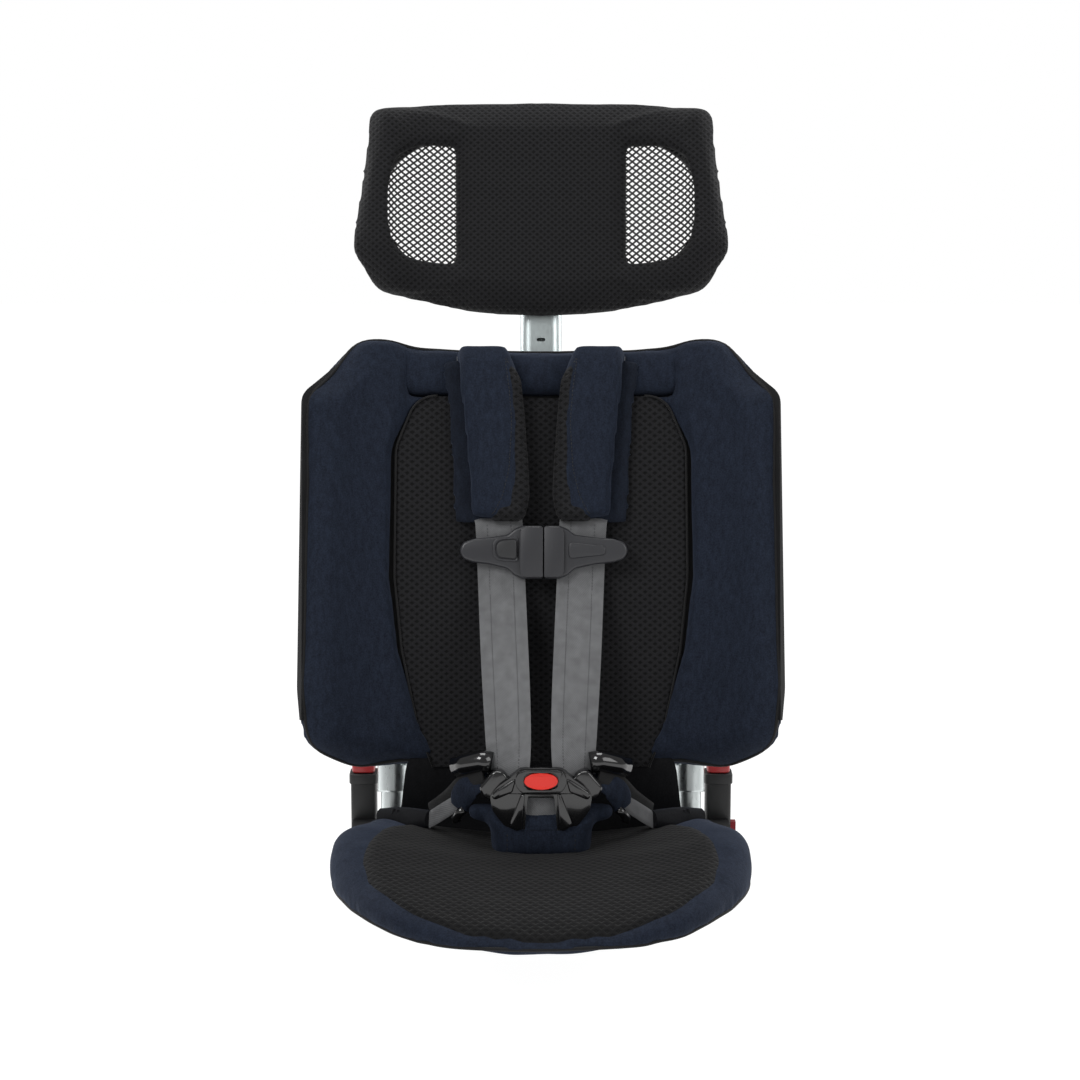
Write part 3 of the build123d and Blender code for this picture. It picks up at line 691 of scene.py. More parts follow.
# ------------------------------------------------------------------ camera, light and floor
def make_stage():
    data = bpy.data.cameras.new("camera")
    data.lens, data.sensor_width = 85.5, 36
    camera = bpy.data.objects.new("camera", data)
    bpy.context.collection.objects.link(camera)
    elevation, distance = math.radians(10.0), 2.0
    target = Vector((-0.0008, ORIGIN_Y * MM, 0.316))
    camera.location = target + Vector((0, -math.cos(elevation), math.sin(elevation))) * distance
    camera.rotation_euler = (math.pi / 2 - elevation, 0, 0)
    bpy.context.scene.camera = camera

    world = bpy.data.worlds.new("studio")
    world.use_nodes = True
    tree = world.node_tree
    path = tree.nodes.new("ShaderNodeLightPath")
    shade = tree.nodes.new("ShaderNodeMapRange")
    tree.links.new(path.outputs["Is Camera Ray"], shade.inputs["Value"])
    shade.inputs["To Min"].default_value, shade.inputs["To Max"].default_value = 0.34, 1.0
    tree.nodes["Background"].inputs[0].default_value = (1, 1, 1, 1)
    tree.links.new(shade.outputs[0], tree.nodes["Background"].inputs[1])
    bpy.context.scene.world = world
    bpy.context.scene.view_settings.view_transform = "Standard"
    for name, place, size, power in (
            ("key", (-1.3, -1.5, 1.9), 1.0, 30), ("fill", (1.6, -1.2, 1.2), 1.2, 12),
            ("top", (0.0, 0.3, 2.2), 1.2, 20), ("rim_left", (-1.5, 0.9, 0.9), 0.6, 14),
            ("rim_right", (1.5, 0.9, 0.9), 0.6, 14)):
        light = bpy.data.lights.new(name, "AREA")
        light.size, light.energy = size, power
        lamp = bpy.data.objects.new(name, light)
        lamp.location = place
        lamp.rotation_euler = (Vector((0, 0, 0.3)) - Vector(place)).to_track_quat("-Z", "Y").to_euler()
        bpy.context.collection.objects.link(lamp)
    floor = new_object("floor", [(-6, -6, 0), (6, -6, 0), (6, 6, 0), (-6, 6, 0)], [[0, 1, 2, 3]])
    paint = bpy.data.materials.new("floor_paint")
    paint.use_nodes = True
    shader = paint.node_tree.nodes["Principled BSDF"]
    for key, value in (("Base Color", (0.12, 0.12, 0.12, 1)), ("Emission Color", (1, 1, 1, 1)),
                       ("Emission Strength", 0.97), ("Roughness", 0.7)):
        shader.inputs[key].default_value = value
    floor.data.materials.append(paint)


def pair(*names):
    return [name + side for name in names for side in ("_left", "_right")]


def finish_cad_nodes():
    """Materials for the CAD's own nodes."""
    looks = {
        "tube_up": pair("upright", "back_tube", "hinge_bracket") + ["hinge_knuckles"],
        "tube_across": ["back_crossbar", "seat_rim"],
        "tube_floor": ["floor_loop"],
        "post": ["headrest_post"],
        "case": ["rail_sockets", "seat_mounts", "post_housing", "release_guide", "back_shell",
                 "headrest_shell"] + pair("anchor_holder"),
        "steel": ["hinge_pins", "harness_bar", "crotch_bar"] + pair("anchor_jaw"),
        "rubber": ["base_feet"],
        "grip": ["fold_release", "headrest_button"],
        "gloss": ["buckle_housing"] + pair("hip_link", "anchor_body", "buckle_tongue"),
        "red": ["buckle_button"] + pair("anchor_button"),
        "red_cloth": ["red_tab"],
        "clip": pair("chest_clip"),
        "button": ["chest_clip_button"],
        "binding": ["crotch_strap"] + pair("lap_sleeve"),
        "webbing": pair("lap_strap", "shoulder_strap"),
        "navy": ["cover_hem", "top_band", "crotch_pad"] + pair("wing_pad", "shoulder_pad"),
        "mesh_back": ["back_mesh", "lower_mesh"],
        "mesh_seat_painted_shade": ["seat_cover"],
        "mesh_head": ["headrest_pad"],
        "net": ["headrest_nets"],
    }
    for look, names in looks.items():
        for name in names:
            for entry in frame["nodes"][name].material_slots:
                entry.material = MAT[look]


# ------------------------------------------------------------------ the back's cover
def make_wings():
    inner = [(106, 334), (106, 297)] + [p for p in MESH_EDGE if p[0] > 84 and p[1] < 290]

    def front(points):
        return np.minimum(-2.5 + 18.5 * rounding(edge_distance(points, BACK_EDGE), 15),
                          9.5 + 7.0 * rounding(edge_distance(points, inner), 9))

    def back(points):
        return np.where(edge_distance(points, BACK_EDGE) < 12, -8.5, 0.6)

    wing = slab("wing_right", WING_EDGE, back_surface, front, back, step=3.5)
    upholster(wing, "navy", 2.8, 9, (5.0, 4.0), (0.35, 26, 1.0))
    twin = mirror_piece(wing, "wing_left")
    for side, piece in (("right", wing), ("left", twin)):
        place_on(piece, "backrest", "navy_cover", ["wing_pad_" + side])
    return wing, twin


# the mesh laps over the wings towards the bottom, where they part
MESH_LAP = [(x + 3.0 * float(smooth_step(70 - z, 0, 40)) * (z < 70), z) for x, z in MESH_EDGE]


def make_back_mesh():
    outline = mirrored(MESH_LAP)
    panel = slab("back_mesh_sheet", outline, back_surface,
                 lambda pts: 12.2 + 1.2 * smooth_step(edge_distance(pts, outline), 0, 12),
                 level(9.6), step=6.0)
    subdivide(panel)
    shade_smooth(panel, 50)
    dress(panel, "mesh_back")
    place_on(panel, "backrest", "black_mesh", ["back_mesh"])


def make_band():
    band = slab("band_top", BAND_EDGE, back_surface,
                lambda pts: -3 + 18.5 * rounding(edge_distance(pts, BAND_EDGE), 12),
                level(-6.0), step=4.0)
    upholster(band, "navy", 3.6, 4, (4.0, 3.0), (0.3, 24, 3.0))
    place_on(band, "backrest", "navy_cover", ["top_band"])
    return band


def make_piping(covers):
    """Black binding round the back, held to the covers' edges, and along the seams with the mesh."""
    rings = []
    surface = surface_of(*covers)
    drawn = mirrored(BACK_EDGE)
    drawn = [back_surface(x * 0.997, 0.0, z * 0.9985) for x, z in drawn + drawn[:1]]
    edge = [surface.find_nearest(p)[0] for p, _ in spaced(drawn, 5.0)]
    rings.append(tube_along("edge_binding", even(edge, 4, closed=True), 1.7, closed=True))
    seam = [back_surface(x, 13.4, z) for x, z in MESH_LAP if x > 60]
    left = [Vector((-p.x, p.y, p.z)) for p in seam]
    rings.append(tube_along("seam_right", seam, 0.9))
    rings.append(tube_along("seam_left", left, 0.9))
    piping = join("back_piping", rings)
    dress(piping, "binding")
    place_on(piping, "backrest", "webbing_black", ["cover_hem"])


# ------------------------------------------------------------------ ribbons
def smooth_path(stations, per=6):
    """Stations of any number of values, with smooth ones put between them."""
    array = np.array(stations, dtype=float)
    out = []
    for i in range(len(array) - 1):
        p0, p1 = array[max(i - 1, 0)], array[i]
        p2, p3 = array[i + 1], array[min(i + 2, len(array) - 1)]
        for k in range(per):
            t = k / per
            out.append(0.5 * ((2 * p1) + (p2 - p0) * t + (2 * p0 - 5 * p1 + 4 * p2 - p3) * t * t
                              + (3 * p1 - p0 - 3 * p2 + p3) * t ** 3))
    out.append(array[-1])
    return np.array(out)


def ribbon(name, stations, place, thick, per=6, across=8, puff=0.0):
    """A strap through (x, y, z, width, yaw): yaw turns its right edge back, degrees."""
    path = smooth_path(stations, per)
    centres = [place(*row[:3]) for row in path]
    verts, faces, lines = [], [], {}
    for i, row in enumerate(path):
        along = (centres[min(i + 1, len(path) - 1)] - centres[max(i - 1, 0)]).normalized()
        yaw = math.radians(row[4])
        wide = Vector((math.cos(yaw), math.sin(yaw), 0))
        wide = (wide - along * wide.dot(along)).normalized()
        normal = along.cross(wide).normalized()
        for face in (1, -1):
            for k in range(across + 1):
                s = 2 * k / across - 1
                bulge = thick / 2 * (1 - 0.75 * abs(s) ** 8) + puff * (1 - s * s)
                point = centres[i] + wide * s * row[3] / 2 * MM + normal * face * bulge * MM
                verts.append(point)
        for s in (-0.84, -0.5, 0.5, 0.84):
            lines.setdefault(s, []).append(centres[i] + wide * s * row[3] / 2 * MM)
    ring = 2 * (across + 1)
    n = across + 1
    for i in range(len(path) - 1):
        a, b = i * ring, (i + 1) * ring
        for k in range(across):
            faces.append([a + k, a + k + 1, b + k + 1, b + k])
            faces.append([a + n + k, b + n + k, b + n + k + 1, a + n + k + 1])
        faces.append([a, b, b + n, a + n])
        faces.append([a + across, a + n + across, b + n + across, b + across])
    last = (len(path) - 1) * ring
    for k in range(across):
        faces.append([k, n + k, n + k + 1, k + 1])
        faces.append([last + k, last + k + 1, last + n + k + 1, last + n + k])
    obj = new_object(name, verts, faces)
    tidy_normals(obj)
    shade_smooth(obj, 50)
    return obj, lines


# ------------------------------------------------------------------ the seat
# Y, half width, top at middle, top at side, underside at side
SEAT = np.array([(46, 124, 64, 74, 50), (10, 146, 67, 92, 56), (-40, 161, 72, 103, 60),
                 (-80, 163, 76, 100, 60), (-120, 154, 73, 90, 59), (-155, 133, 66, 78, 54),
                 (-180, 105, 58.5, 67, 47.5), (-191, 80, 53.5, 58, 45), (-196, 58, 51.5, 55, 44.5)])
SEAT_PANEL = rounded([(0, 40), (96, 36), (122, -20), (134, -72), (137, -105), (131, -140),
                      (99, -176), (58, -190.5), (0, -193.5)],
                     [0, 12, 80, 60, 60, 60, 60, 60, 0], closed=False)


CROTCH_SLOT = [(-17, -51.5), (17, -51.5), (17, -44.5), (-17, -44.5)]


def seat_at(y, column):
    """A column of SEAT at y."""
    return np.interp(-np.asarray(y, dtype=float), -SEAT[:, 0], SEAT[:, column])


def seat_outline():
    rows = smooth_path(SEAT[:, :2].tolist(), 8)
    right = [(x, y) for y, x in rows]
    front = [(40, -197.2), (20, -198), (0, -198.2)]
    return mirrored([(0, 46), (60, 46)] + right + front)


def seat_top(points, edge):
    """The pan's drawn top: higher at the sides, rounded off at the edge."""
    x, y = np.array(points).T
    w, mid, side = seat_at(y, 1), seat_at(y, 2), seat_at(y, 3)
    base = mid + (side - mid) * np.clip(np.abs(x) / w, 0, 1) ** 2
    d = edge_distance(points, edge)
    return base - seat_drop(y) * (1 - rounding(d, seat_roll(y)))


def seat_roll(y):
    """How wide the edge's rounding is: broad at the sides, tight in front."""
    return 7 + 21 * smooth_step(y, -190, -130) * smooth_step(40 - y, 0, 40)


def seat_drop(y):
    """How far that rounding falls."""
    return 3.5 + 20 * smooth_step(y, -188, -125) * smooth_step(40 - y, 0, 40)


def plan(a, t, b):
    return on_base(a, b, t)


def make_seat():
    edge = seat_outline()

    def low(points):
        x, y = np.array(points).T
        side = seat_at(y, 4)
        d = edge_distance(points, edge)
        rise = 8 * (1 - rounding(d, 10))
        inner = seat_top(points, edge) - 11
        skirt = side + np.minimum(rise, 4)
        return np.where(d < 9, np.minimum(skirt, inner + 8), inner)

    pan = slab("seat_pan", edge, plan, lambda pts: seat_top(pts, edge), low,
               holes=[CROTCH_SLOT], step=4.0)
    upholster(pan, "navy", 4.0, 6, (3.0, 3.0), (0.5, 30, 5.0))

    panel_edge = mirrored(SEAT_PANEL)
    surface = surface_of(pan)

    def over(points):
        """Rests on the pan as it came out of the cloth step, its rim sunk in as a seam."""
        d = edge_distance(points, panel_edge)
        drawn = seat_top(points, edge)
        top = []
        for (x, y), z in zip(points, drawn):
            hit = surface.ray_cast(plan(x, z + 60, y), Vector((0, 0, -1)))[0]
            top.append(hit.z / MM if hit is not None and hit.z / MM > z - 4 else z)
        return np.array(top) + 2.4 - 4.0 * (1 - smooth_step(d, 0, 6))

    panel = slab("seat_mesh", panel_edge, plan, over, lambda pts: over(pts) - 2.2,
                 holes=[CROTCH_SLOT], step=5.0)
    subdivide(panel)
    shade_smooth(panel, 60)
    # the seat mesh's darker threads are painted shade
    dress(panel, "mesh_seat_painted_shade")
    place_on(pan, "base", "navy_cover", ["seat_cover"])
    place_on(panel, "base", "black_mesh", ["seat_cover"])
    half = [p for p in edge if p[0] >= 0 and p[1] < 30]
    half = sorted(half, key=lambda p: math.atan2(p[0], p[1] + 60), reverse=True)
    around = [(-x, y) for x, y in reversed(half)] + half
    low_z = seat_at([p[1] for p in around], 4) + 3.0
    lower = [surface.find_nearest(plan(x * 0.985, z, y + 2.0))[0] for (x, y), z in zip(around, low_z)]
    rim = tube_along("seat_edge", even(lower), 1.6)
    dress(rim, "binding")
    place_on(rim, "base", "webbing_black", ["seat_cover"])


# ------------------------------------------------------------------ the head rest
def make_head():
    edge = mirrored(HEAD_EDGE)
    right = window_edge()
    left = [(-x, z) for x, z in reversed(right)]

    def front(points):
        d = edge_distance(points, edge)
        w = np.minimum(edge_distance(points, right), edge_distance(points, left))
        return np.minimum(-1 + 20 * rounding(d, 16), 12 + 7 * rounding(w, 9))

    def back(points):
        d = edge_distance(points, edge)
        return np.where(d < 9, -8.0, 0.6)

    pad = slab("headrest_cover", edge, head_surface, front, back, holes=[right, left], step=4.0)
    upholster(pad, "mesh_head", 2.7, 9, (4.0, 3.0), (0.3, 30, 7.0))
    place_on(pad, "headrest", "black_mesh", ["headrest_pad"])

    wide = window_edge(1.5)
    cords = []
    low, high = np.array(wide).min(0), np.array(wide).max(0)
    for sign in (1, -1):
        shift = -120.0
        while shift < 120:
            run = []
            for x in [low[0] + (high[0] - low[0]) * k / 139 for k in range(140)]:
                z = (low[1] + high[1]) / 2 + sign * 0.86 * (x - (low[0] + high[0]) / 2) + shift
                if within((x, z), wide):
                    run.append((x, z))
            if len(run) > 3:
                cords.append(run[::6] + ([run[-1]] if (len(run) - 1) % 6 else []))
            shift += 5.2
    for side in (1, -1):
        tubes = [tube_along("net", [head_surface(side * x, 8.7, z) for x, z in run], 0.85, sides=5)
                 for run in cords if len(run) > 1]
        net = join("window_net_" + ("right" if side > 0 else "left"), tubes)
        dress(net, "net")
        place_on(net, "headrest", "window_net", ["headrest_nets"])


def within(point, outline):
    """Whether a 2-D point is inside an outline."""
    x, y = point
    inside = False
    for i in range(len(outline)):
        (x0, y0), (x1, y1) = outline[i - 1], outline[i]
        if (y0 > y) != (y1 > y) and x < (x1 - x0) * (y - y0) / (y1 - y0) + x0:
            inside = not inside
    return inside


# ------------------------------------------------------------------ the harness
def back_flat(a, t, b):
    """In front of the back; above a height it turns back over the top."""
    if b < PAD_BEND:
        return on_back(a, -t, b)
    turn = (b - PAD_BEND) / 15
    return on_back(a, -14 - (t - 14) * math.cos(turn), PAD_BEND + (t - 14) * math.sin(turn))


PAD_BEND = 319.0
PAD_EDGE = rounded([(68.5, 341), (66, 299), (61.6, 258), (57.5, 222), (56.3, 198), (14, 195),
                    (9.8, 214), (11.2, 243), (14, 281), (17, 309), (26, 341)],
                   [5, 60, 60, 60, 6, 9, 40, 80, 80, 30, 8])
PAD_INSERT = rounded([(29, 329), (25.2, 299), (23.4, 274), (25.6, 236), (31, 214), (41, 194.6),
                      (13.4, 194.2), (9.0, 214), (10.4, 243), (13.2, 281), (16.2, 310)],
                     [2, 40, 60, 40, 30, 2, 9, 40, 80, 80, 20])
FLAP_EDGE = rounded([(81, 322), (74.5, 289), (70, 193), (12, 193), (14, 300), (24, 334), (77, 340)],
                    [10, 60, 5, 6, 60, 12, 10])


def pad_front(points):
    d = edge_distance(points, PAD_EDGE)
    z = np.array(points)[:, 1]
    height = 34.5 + 3.0 * smooth_step(210 - z, 0, 16)
    return 23.5 + (height - 23.5) * rounding(d, 8)


def make_shoulder_pads():
    pad = slab("shoulder_pad_navy_right", PAD_EDGE, back_flat, pad_front,
               level(21.2), step=3.0)
    upholster(pad, "navy", 2.6, 4, (3.0, 2.0), (0.35, 22, 9.0))

    def insert_front(points):
        d = edge_distance(points, PAD_EDGE)
        mine = edge_distance(points, PAD_INSERT)
        outer = np.where(np.abs(mine - d) < 1.3, 99, mine)
        return pad_front(points) + 1.1 - 2.0 * (1 - smooth_step(outer, 0, 3.5))

    insert = slab("shoulder_pad_mesh_right", PAD_INSERT, back_flat, insert_front,
                  level(22.5), step=3.0)
    remesh(insert, 1.8, 3)
    shade_smooth(insert)
    dress(insert, "mesh_back")
    flap = slab("shoulder_flap_right", FLAP_EDGE, back_flat,
                lambda pts: 17.6 + 3.6 * rounding(edge_distance(pts, FLAP_EDGE), 5),
                level(17.0), step=4.0)
    remesh(flap, 2.2, 3)
    crumple(flap, 0.5, 26, 11.0)
    shade_smooth(flap)
    # the flap's darker navy is painted shade under the pad
    dress(flap, "navy_painted_shade")
    seam = stitches("shoulder_seam_right",
                    [[on_back(x, -36, z) for x, z in PAD_INSERT[:48] if z > 197 and x > 19]],
                    pad, pitch=3.0)
    dress(seam, "thread_black")
    for piece in (pad, insert, flap, seam):
        twin = mirror_piece(piece, piece.name.replace("right", "left"))
        for side, obj in (("right", piece), ("left", twin)):
            place_on(obj, "backrest", "black_mesh" if "mesh" in obj.name else "navy_cover",
                     ["shoulder_pad_" + side])
            "seam" not in obj.name


STRAP_ROUTE = [(49, 6.9, 304.5, 38, 0), (49, 6.9, 323, 38, 0), (49, 4.5, 328, 38, 0),
               (49, -13, 328, 38, 0), (48.6, -18.2, 323, 38, 0), (45, -18.2, 290, 38, 0),
               (36, -18.2, 208, 38, 0), (33.6, -22.2, 190, 38, 1), (31.6, -24.2, 146, 38, 3),
               (29, -48, 92, 38, 8), (26.5, -72, 45, 38, 20), (25, -88, 8, 38, 30),
               (25.5, -87, -14, 37, 34)]


def make_straps():
    strap, lines = ribbon("shoulder_web_right", STRAP_ROUTE, on_back, 2.2, per=5)
    dress(strap, "webbing")
    seams = stitches("shoulder_web_seams_right", [lines[s][22:] for s in (-0.5, 0.5)], strap,
                     pitch=2.6, length=1.7, radius=0.3)
    dress(seams, "thread_grey")
    for piece in (strap, seams):
        twin = mirror_piece(piece, piece.name.replace("right", "left"))
        for side, obj in (("right", piece), ("left", twin)):
            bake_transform(obj)
            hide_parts("shoulder_strap_" + side)


CLIP_HALF = rounded([(0, 190.8), (15, 190.8), (21, 188.4), (27, 183.6), (44, 181.4), (58, 180.4),
                     (66.5, 177.8), (70.6, 171), (66.5, 164.2), (58, 161.4), (44, 160), (27, 156.4),
                     (21, 151), (15, 148.4), (0, 148.4)],
                    [0, 4, 6, 8, 40, 10, 6, 7, 6, 10, 40, 8, 6, 4, 0], closed=False)


def make_clip():
    split, gap = 2, 0.5
    right = [(max(x, split + gap), z) for x, z in CLIP_HALF]
    left = [(min(-x + 4.5 * float(smooth_step(x, 20, 70)), split - gap), z) for x, z in CLIP_HALF]
    left = [(split - gap, 190.8)] + left[1:-1] + [(split - gap, 148.4)]
    wings = {}
    for side, outline in (("right", right), ("left", left)):
        plate = moulded("clip_plate_" + side, outline, on_back, -31.5, -16.5, 2.2)
        out = 1 if side == "right" else -1
        back = rounded([(out * x, z) for x, z in ((16, 194.5), (30, 194.8), (50, 185), (56, 176),
                                                  (50, 157), (30, 149), (18, 150))],
                       [4, 14, 10, 8, 14, 14, 4])
        rear = moulded("clip_rear_" + side, back, on_back, -20.0, -15.5, 1.2)
        dress(rear, "gloss")
        dress(plate, "clip")
        wings[side] = [plate, rear]
    # raised middle with a sloping shoulder to each wing
    for side, (a, b) in (("left", (-16.8, split - gap)), ("right", (split + gap, 18.4))):
        block = moulded("clip_block_" + side, rounded([(a, 189.6), (b, 189.6), (b, 149.6), (a, 149.6)],
                        [5, 0.6, 0.6, 5] if side == "left" else [0.6, 5, 5, 0.6]),
                        on_back, -34.4, -30, 1.8)
        dress(block, "clip")
        wings[side].append(block)
    ridge = moulded("clip_ridge_right", rounded([(22, 178), (52, 174.6), (52, 167.4), (22, 164)],
                                                [3, 3, 3, 3]), on_back, -32.6, -30, 1.2)
    dress(ridge, "clip")
    wings["right"].append(ridge)
    collar = moulded("clip_collar_left", rounded([(-39, 181), (-17.6, 182.4), (-17.6, 161.4),
                                                  (-39, 163)], [8, 3, 3, 8]), on_back, -32.4, -30, 0.8,
                     holes=[rounded([(-36.4, 179), (-19, 180.2), (-19, 163.4), (-36.4, 165)],
                                    [7, 2.6, 2.6, 7])])
    dress(collar, "clip")
    wings["left"].append(collar)
    button = moulded("clip_press", rounded([(-35.6, 178.2), (-19.8, 179.4), (-19.8, 164.2),
                                            (-35.6, 165.8)], [6.5, 2.2, 2.2, 6.5]),
                     on_back, -33.4, -26.8, 1.2, dome=0.6)
    dress(button, "button")
    place_on(button, "clip_key", "clip_grey", ["chest_clip_button"])
    for side, body in (("left", "backrest"), ("right", "clip_half")):
        whole = join("clip_" + side, wings[side])
        place_on(whole, body, "clip_grey", ["chest_clip_" + side])


TONGUE_DIP = 40.0                                      # tongues point this far below level


def make_buckle():
    shield = mirrored(rounded([(0, 147.6), (16, 146.6), (24, 139), (33, 132.5), (39.6, 124.6),
                               (37.6, 113), (28.6, 101.2), (18, 96.6), (0, 96.6)],
                              [0, 10, 10, 12, 6, 8, 6, 5, 0], closed=False))
    slot = rounded([(-10, 126.4), (10, 126.4), (12.6, 97.8), (-12.6, 97.8)], [3, 3, 1, 1])
    body = moulded("buckle_body", shield, on_base, -53.5, -35, 3.0, holes=[slot], dome=2.0)
    hood = moulded("buckle_hood", rounded([(-21, 136), (-17, 146), (17, 146), (21, 136), (15, 127.8),
                                           (-15, 127.8)], [8, 6, 6, 8, 5, 5]), on_base, -58.2, -50, 2.4,
                   holes=[rounded([(-13.4, 144), (13.4, 144), (13.4, 130.6), (-13.4, 130.6)],
                                  [6.5, 6.5, 6.5, 6.5])])
    lips = []
    for side in (1, -1):
        lips.append(moulded("buckle_lip", rounded([(side * 12.4, 127), (side * 15.5, 126.6),
                                                   (side * 25, 101), (side * 14.4, 98)],
                                                  [1, 3, 3, 1]), on_base, -57.0, -50, 1.6))
        lips.append(moulded("buckle_wing", rounded([(side * 19, 139), (side * 23, 137.6),
                                                    (side * 38.4, 127), (side * 37, 121.4),
                                                    (side * 22, 128)], [3, 5, 4, 4, 3]),
                            on_base, -56.4, -49, 1.8))
    floor = moulded("buckle_floor", rounded([(-11, 127), (11, 127), (13, 97.4), (-13, 97.4)],
                                            [1, 1, 1, 1]), on_base, -45.6, -37, 0.4)
    body = join("buckle_case", [body, hood, floor] + lips)
    dress(body, "gloss")
    place_on(body, "base", "buckle_gloss", ["buckle_housing"])
    oval = [(13.2 * math.cos(a), 137.4 + 6.6 * math.sin(a))
            for a in np.linspace(0, 2 * math.pi, 48, endpoint=False)]
    button = moulded("buckle_press_face", oval, on_base, -57.4, -51, 1.2, dome=1.2)
    dress(button, "red")
    place_on(button, "buckle_key", "release_red", ["buckle_button"])
    for side in (1, -1):
        name = "right" if side > 0 else "left"
        hub = on_base(side * 27, -42, 124)

        def tilted(a, y, b, hub=hub, side=side):
            turn = math.radians(TONGUE_DIP)
            return hub + Vector((side * (a * math.cos(turn) - b * math.sin(turn)), y,
                                 a * math.sin(turn) + b * math.cos(turn))) * MM
        head = moulded("tongue_head", rounded([(-1, -10), (13, -13), (20, -9), (20, 9), (13, 13),
                                               (-1, 10)], [3, 5, 5, 5, 5, 3]), tilted, -8, 5, 2.2)
        blade = moulded("tongue_blade", rounded([(-14, -6), (2, -6), (2, 6), (-14, 6)],
                                                [2, 0, 0, 2]), tilted, -1, 1, 0.2)
        piece = join("tongue_" + name, [head, blade])
        dress(piece, "gloss")
        place_on(piece, "tongue_" + name, "buckle_gloss", ["buckle_tongue_" + name])

    web, _ = ribbon("crotch_web", [(0, -48, 61.5, 27, 0), (0, -48.2, 80, 27, 0),
                                       (0, -48.6, 100, 25, 0), (0, -48, 122, 22, 0)],
                        on_base, 2.2, per=5)
    dress(web, "webbing")
    place_on(web, "base", "webbing_grey", ["crotch_strap"])

    low_edge = rounded([(-38.6, 71), (38.6, 71), (40.6, 98), (57, 100.5), (57.5, 112.5), (-57.5, 112.5),
                        (-57, 100.5), (-40.6, 98)], [3, 3, 5, 6, 5, 5, 6, 5])
    apron = slab("crotch_pad_cover", low_edge, lambda a, t, b: on_base(a, -t, b),
                 lambda pts: 34 + 20 * rounding(edge_distance(pts, low_edge), 12)
                 * np.where(np.abs(np.array(pts)[:, 0]) > 42, 0.35, 1.0),
                 level(26.0), step=3.5)
    upholster(apron, "navy", 2.8, 8, (3.0, 2.0), (0.6, 18, 13.0))
    place_on(apron, "base", "navy_cover", ["crotch_pad"])
    rows = [[on_base(x, -56, z) for z in (72, 80, 88, 95)] for x in (-26.4, 26.4)]
    rows.append([on_base(x, -56, 73.4) for x in (-36, -18, 0, 18, 36)])
    seams = stitches("crotch_pad_seams", rows, apron, pitch=3.4, length=2.0)
    dress(seams, "thread_black")
    place_on(seams, "base", "navy_cover", ["crotch_pad"])


def make_hips():
    for side in (1, -1):
        name = "right" if side > 0 else "left"

        def place(x, y, z, side=side):
            return on_base(side * x, y, z)

        def row(points):
            return [(x, y, z, w, yaw * side) for x, y, z, w, yaw in points]

        roll = tube_along("hip_roll", [place(*p) for p in
                                       ((38, -34, 146), (46, -32, 147), (58, -26, 143), (66, -20, 139))],
                          8.6, sides=16)
        loop, _ = ribbon("hip_loop", row([(42, -35, 131, 19, 30), (54, -32, 127, 20, 35),
                                          (62, -26, 117, 20, 40), (64, -22, 108, 18, 44)]),
                         place, 4.0, puff=1.6)
        dress(loop, "navy")
        dress(roll, "gloss")
        strip, _ = ribbon("hip_strip", row([(66, -20, 110, 12, 45), (74, -13, 103, 12.5, 45),
                                            (83, -5, 95, 13, 48), (90, 1, 89, 13, 50)]),
                          place, 2.4)
        dress(strip, "webbing")
        hook = tube_along("hip_hardware", [place(*p) for p in ((60, -27, 107), (64, -25, 103),
                                                               (67, -22, 98), (66, -22, 95))],
                          3.6, sides=10)
        dress(hook, "gloss")
        web, _ = ribbon("lap_web_" + name, row([(45, -37, 137, 14, 35), (60, -28, 128, 14, 45),
                                                (72, -10, 112, 13, 45), (88, 6, 96, 13, 50)]),
                        place, 2.2)
        dress(web, "binding")
        soft = join("hip_parts_" + name, [roll, strip, hook])
        looks = {soft: ("buckle_gloss", "hip_link_"), web: ("webbing_grey", "lap_strap_"),
                 loop: ("navy_cover", "lap_strap_")}
        for piece, (slot, node) in looks.items():
            place(60, -28, 118)
            place(90, 1, 89)
            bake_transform(piece)
            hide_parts(node + name)
        sleeve, _ = ribbon("sleeve", row([(88, 0, 91, 14, 50), (100, 10, 88, 17, 47),
                                          (114, 22, 85, 18, 42), (129, 34, 81, 17, 40)]),
                           place, 7.0, puff=2.4)
        rings = []
        for k in range(2):
            at = 118 + 3.4 * k
            rings.append(tube_along("cord", [place(at - 1 - 0.3 * z, 19 + 0.8 * (at - 118), 84.5 + z)
                                             for z in (-8.5, -4, 0, 4, 8.5)], 1.4))
        sleeve = join("lap_cover_" + name, [sleeve] + rings)
        dress(sleeve, "black")
        place_on(sleeve, "base", "webbing_black", ["lap_sleeve_" + name])


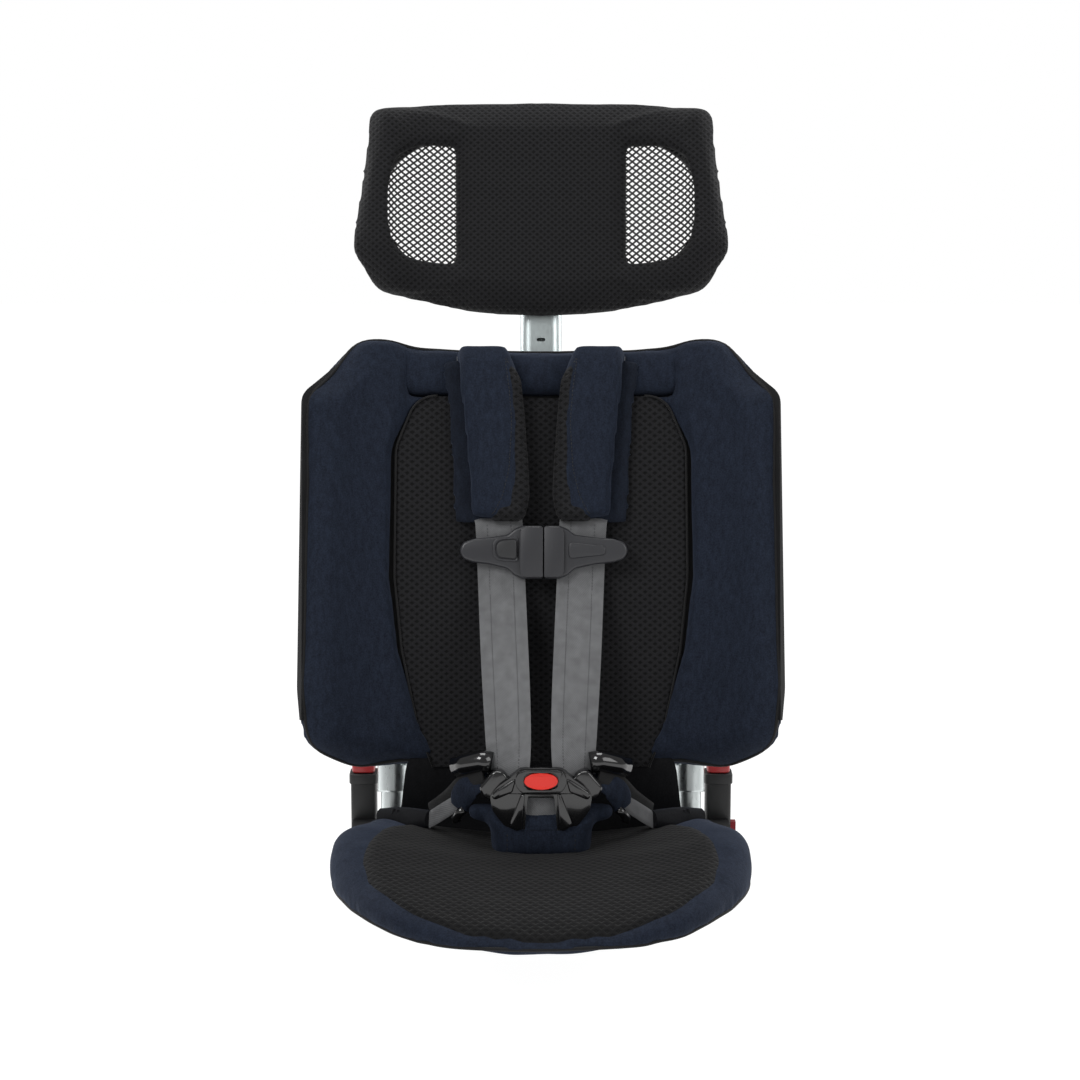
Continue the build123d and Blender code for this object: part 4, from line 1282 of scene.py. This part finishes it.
def make_connectors():
    for side in (1, -1):
        name = "right" if side > 0 else "left"

        def column(a, z, b, side=side):
            return on_base(side * a, b, z)
        body = moulded("anchor_case_" + name, oblong(137, 158, 92, 113, 3), column, 50.0, 101.6, 1.4)
        collar = moulded("anchor_collar", oblong(135.8, 159.2, 91, 114, 4), column, 93.5, 102.6, 1.2)
        body = join("anchor_case_" + name, [body, collar])
        dress(body, "case")
        place_on(body, "base", "buckle_gloss", ["anchor_body_" + name])
        cap = moulded("anchor_cap_" + name, oblong(138, 157, 93, 112, 4), column, 102.8, 110.0, 1.6)
        dress(cap, "red_dark")
        place_on(cap, "anchor_key_" + name, "release_red", ["anchor_button_" + name])


def make_hinges():
    """The sockets that hold the uprights, with a cheek on each side of the hinge."""
    for side in (1, -1):
        name = "right" if side > 0 else "left"

        def along(x, y, z, side=side):
            return HINGE + BACK_TURN @ (Vector((side * x, y, z)) * MM)
        socket = tube_along("socket", [along(122, 0, -51.5), along(122, 0, -50), along(122, 0, -26),
                                       along(122, 0, -22)], 12.4, sides=40)
        parts = [socket]
        profile = [(-12, -30), (12, -30)] + [
            (18.6 * math.cos(math.radians(a)), 18.6 * math.sin(math.radians(a)))
            for a in range(-20, 201, 10)]
        for x0 in (107.0, 133.3):
            parts.append(moulded("cheek", profile, lambda a, y, b, along=along: along(y, a, b),
                                 x0, x0 + 3.8, 0.8))
        whole = join("hinge_socket_" + name, parts)
        dress(whole, "tube_up")
        place_on(whole, "base", "frame_plastic", ["hinge_bracket_" + name])


def make_lower_mesh():
    # a plain black sheet: partly the real lower mesh, and carried down to the seat as painted shade over
    # the dark gap behind it
    route = [(0, 40.5, 138, 200, 0), (0, 36, 126, 216, 0), (0, 38.5, 108, 222, 0),
             (0, 43, 92, 226, 0), (0, 48.5, 77, 230, 0), (0, 50, 60, 228, 0)]
    panel, _ = ribbon("lower_panel", route, on_base, 2.4, across=24)
    # plain black in place of the mesh pattern, partly painted shade
    dress(panel, "black")
    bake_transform(panel)
    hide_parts("lower_mesh")


# ------------------------------------------------------------------ run
make_stage()
finish_cad_nodes()
wings = make_wings()
make_back_mesh()
band = make_band()
make_piping([*wings, band])
make_seat()
make_head()
make_shoulder_pads()
make_straps()
make_clip()
make_buckle()
make_hips()
make_connectors()
make_hinges()
make_lower_mesh()
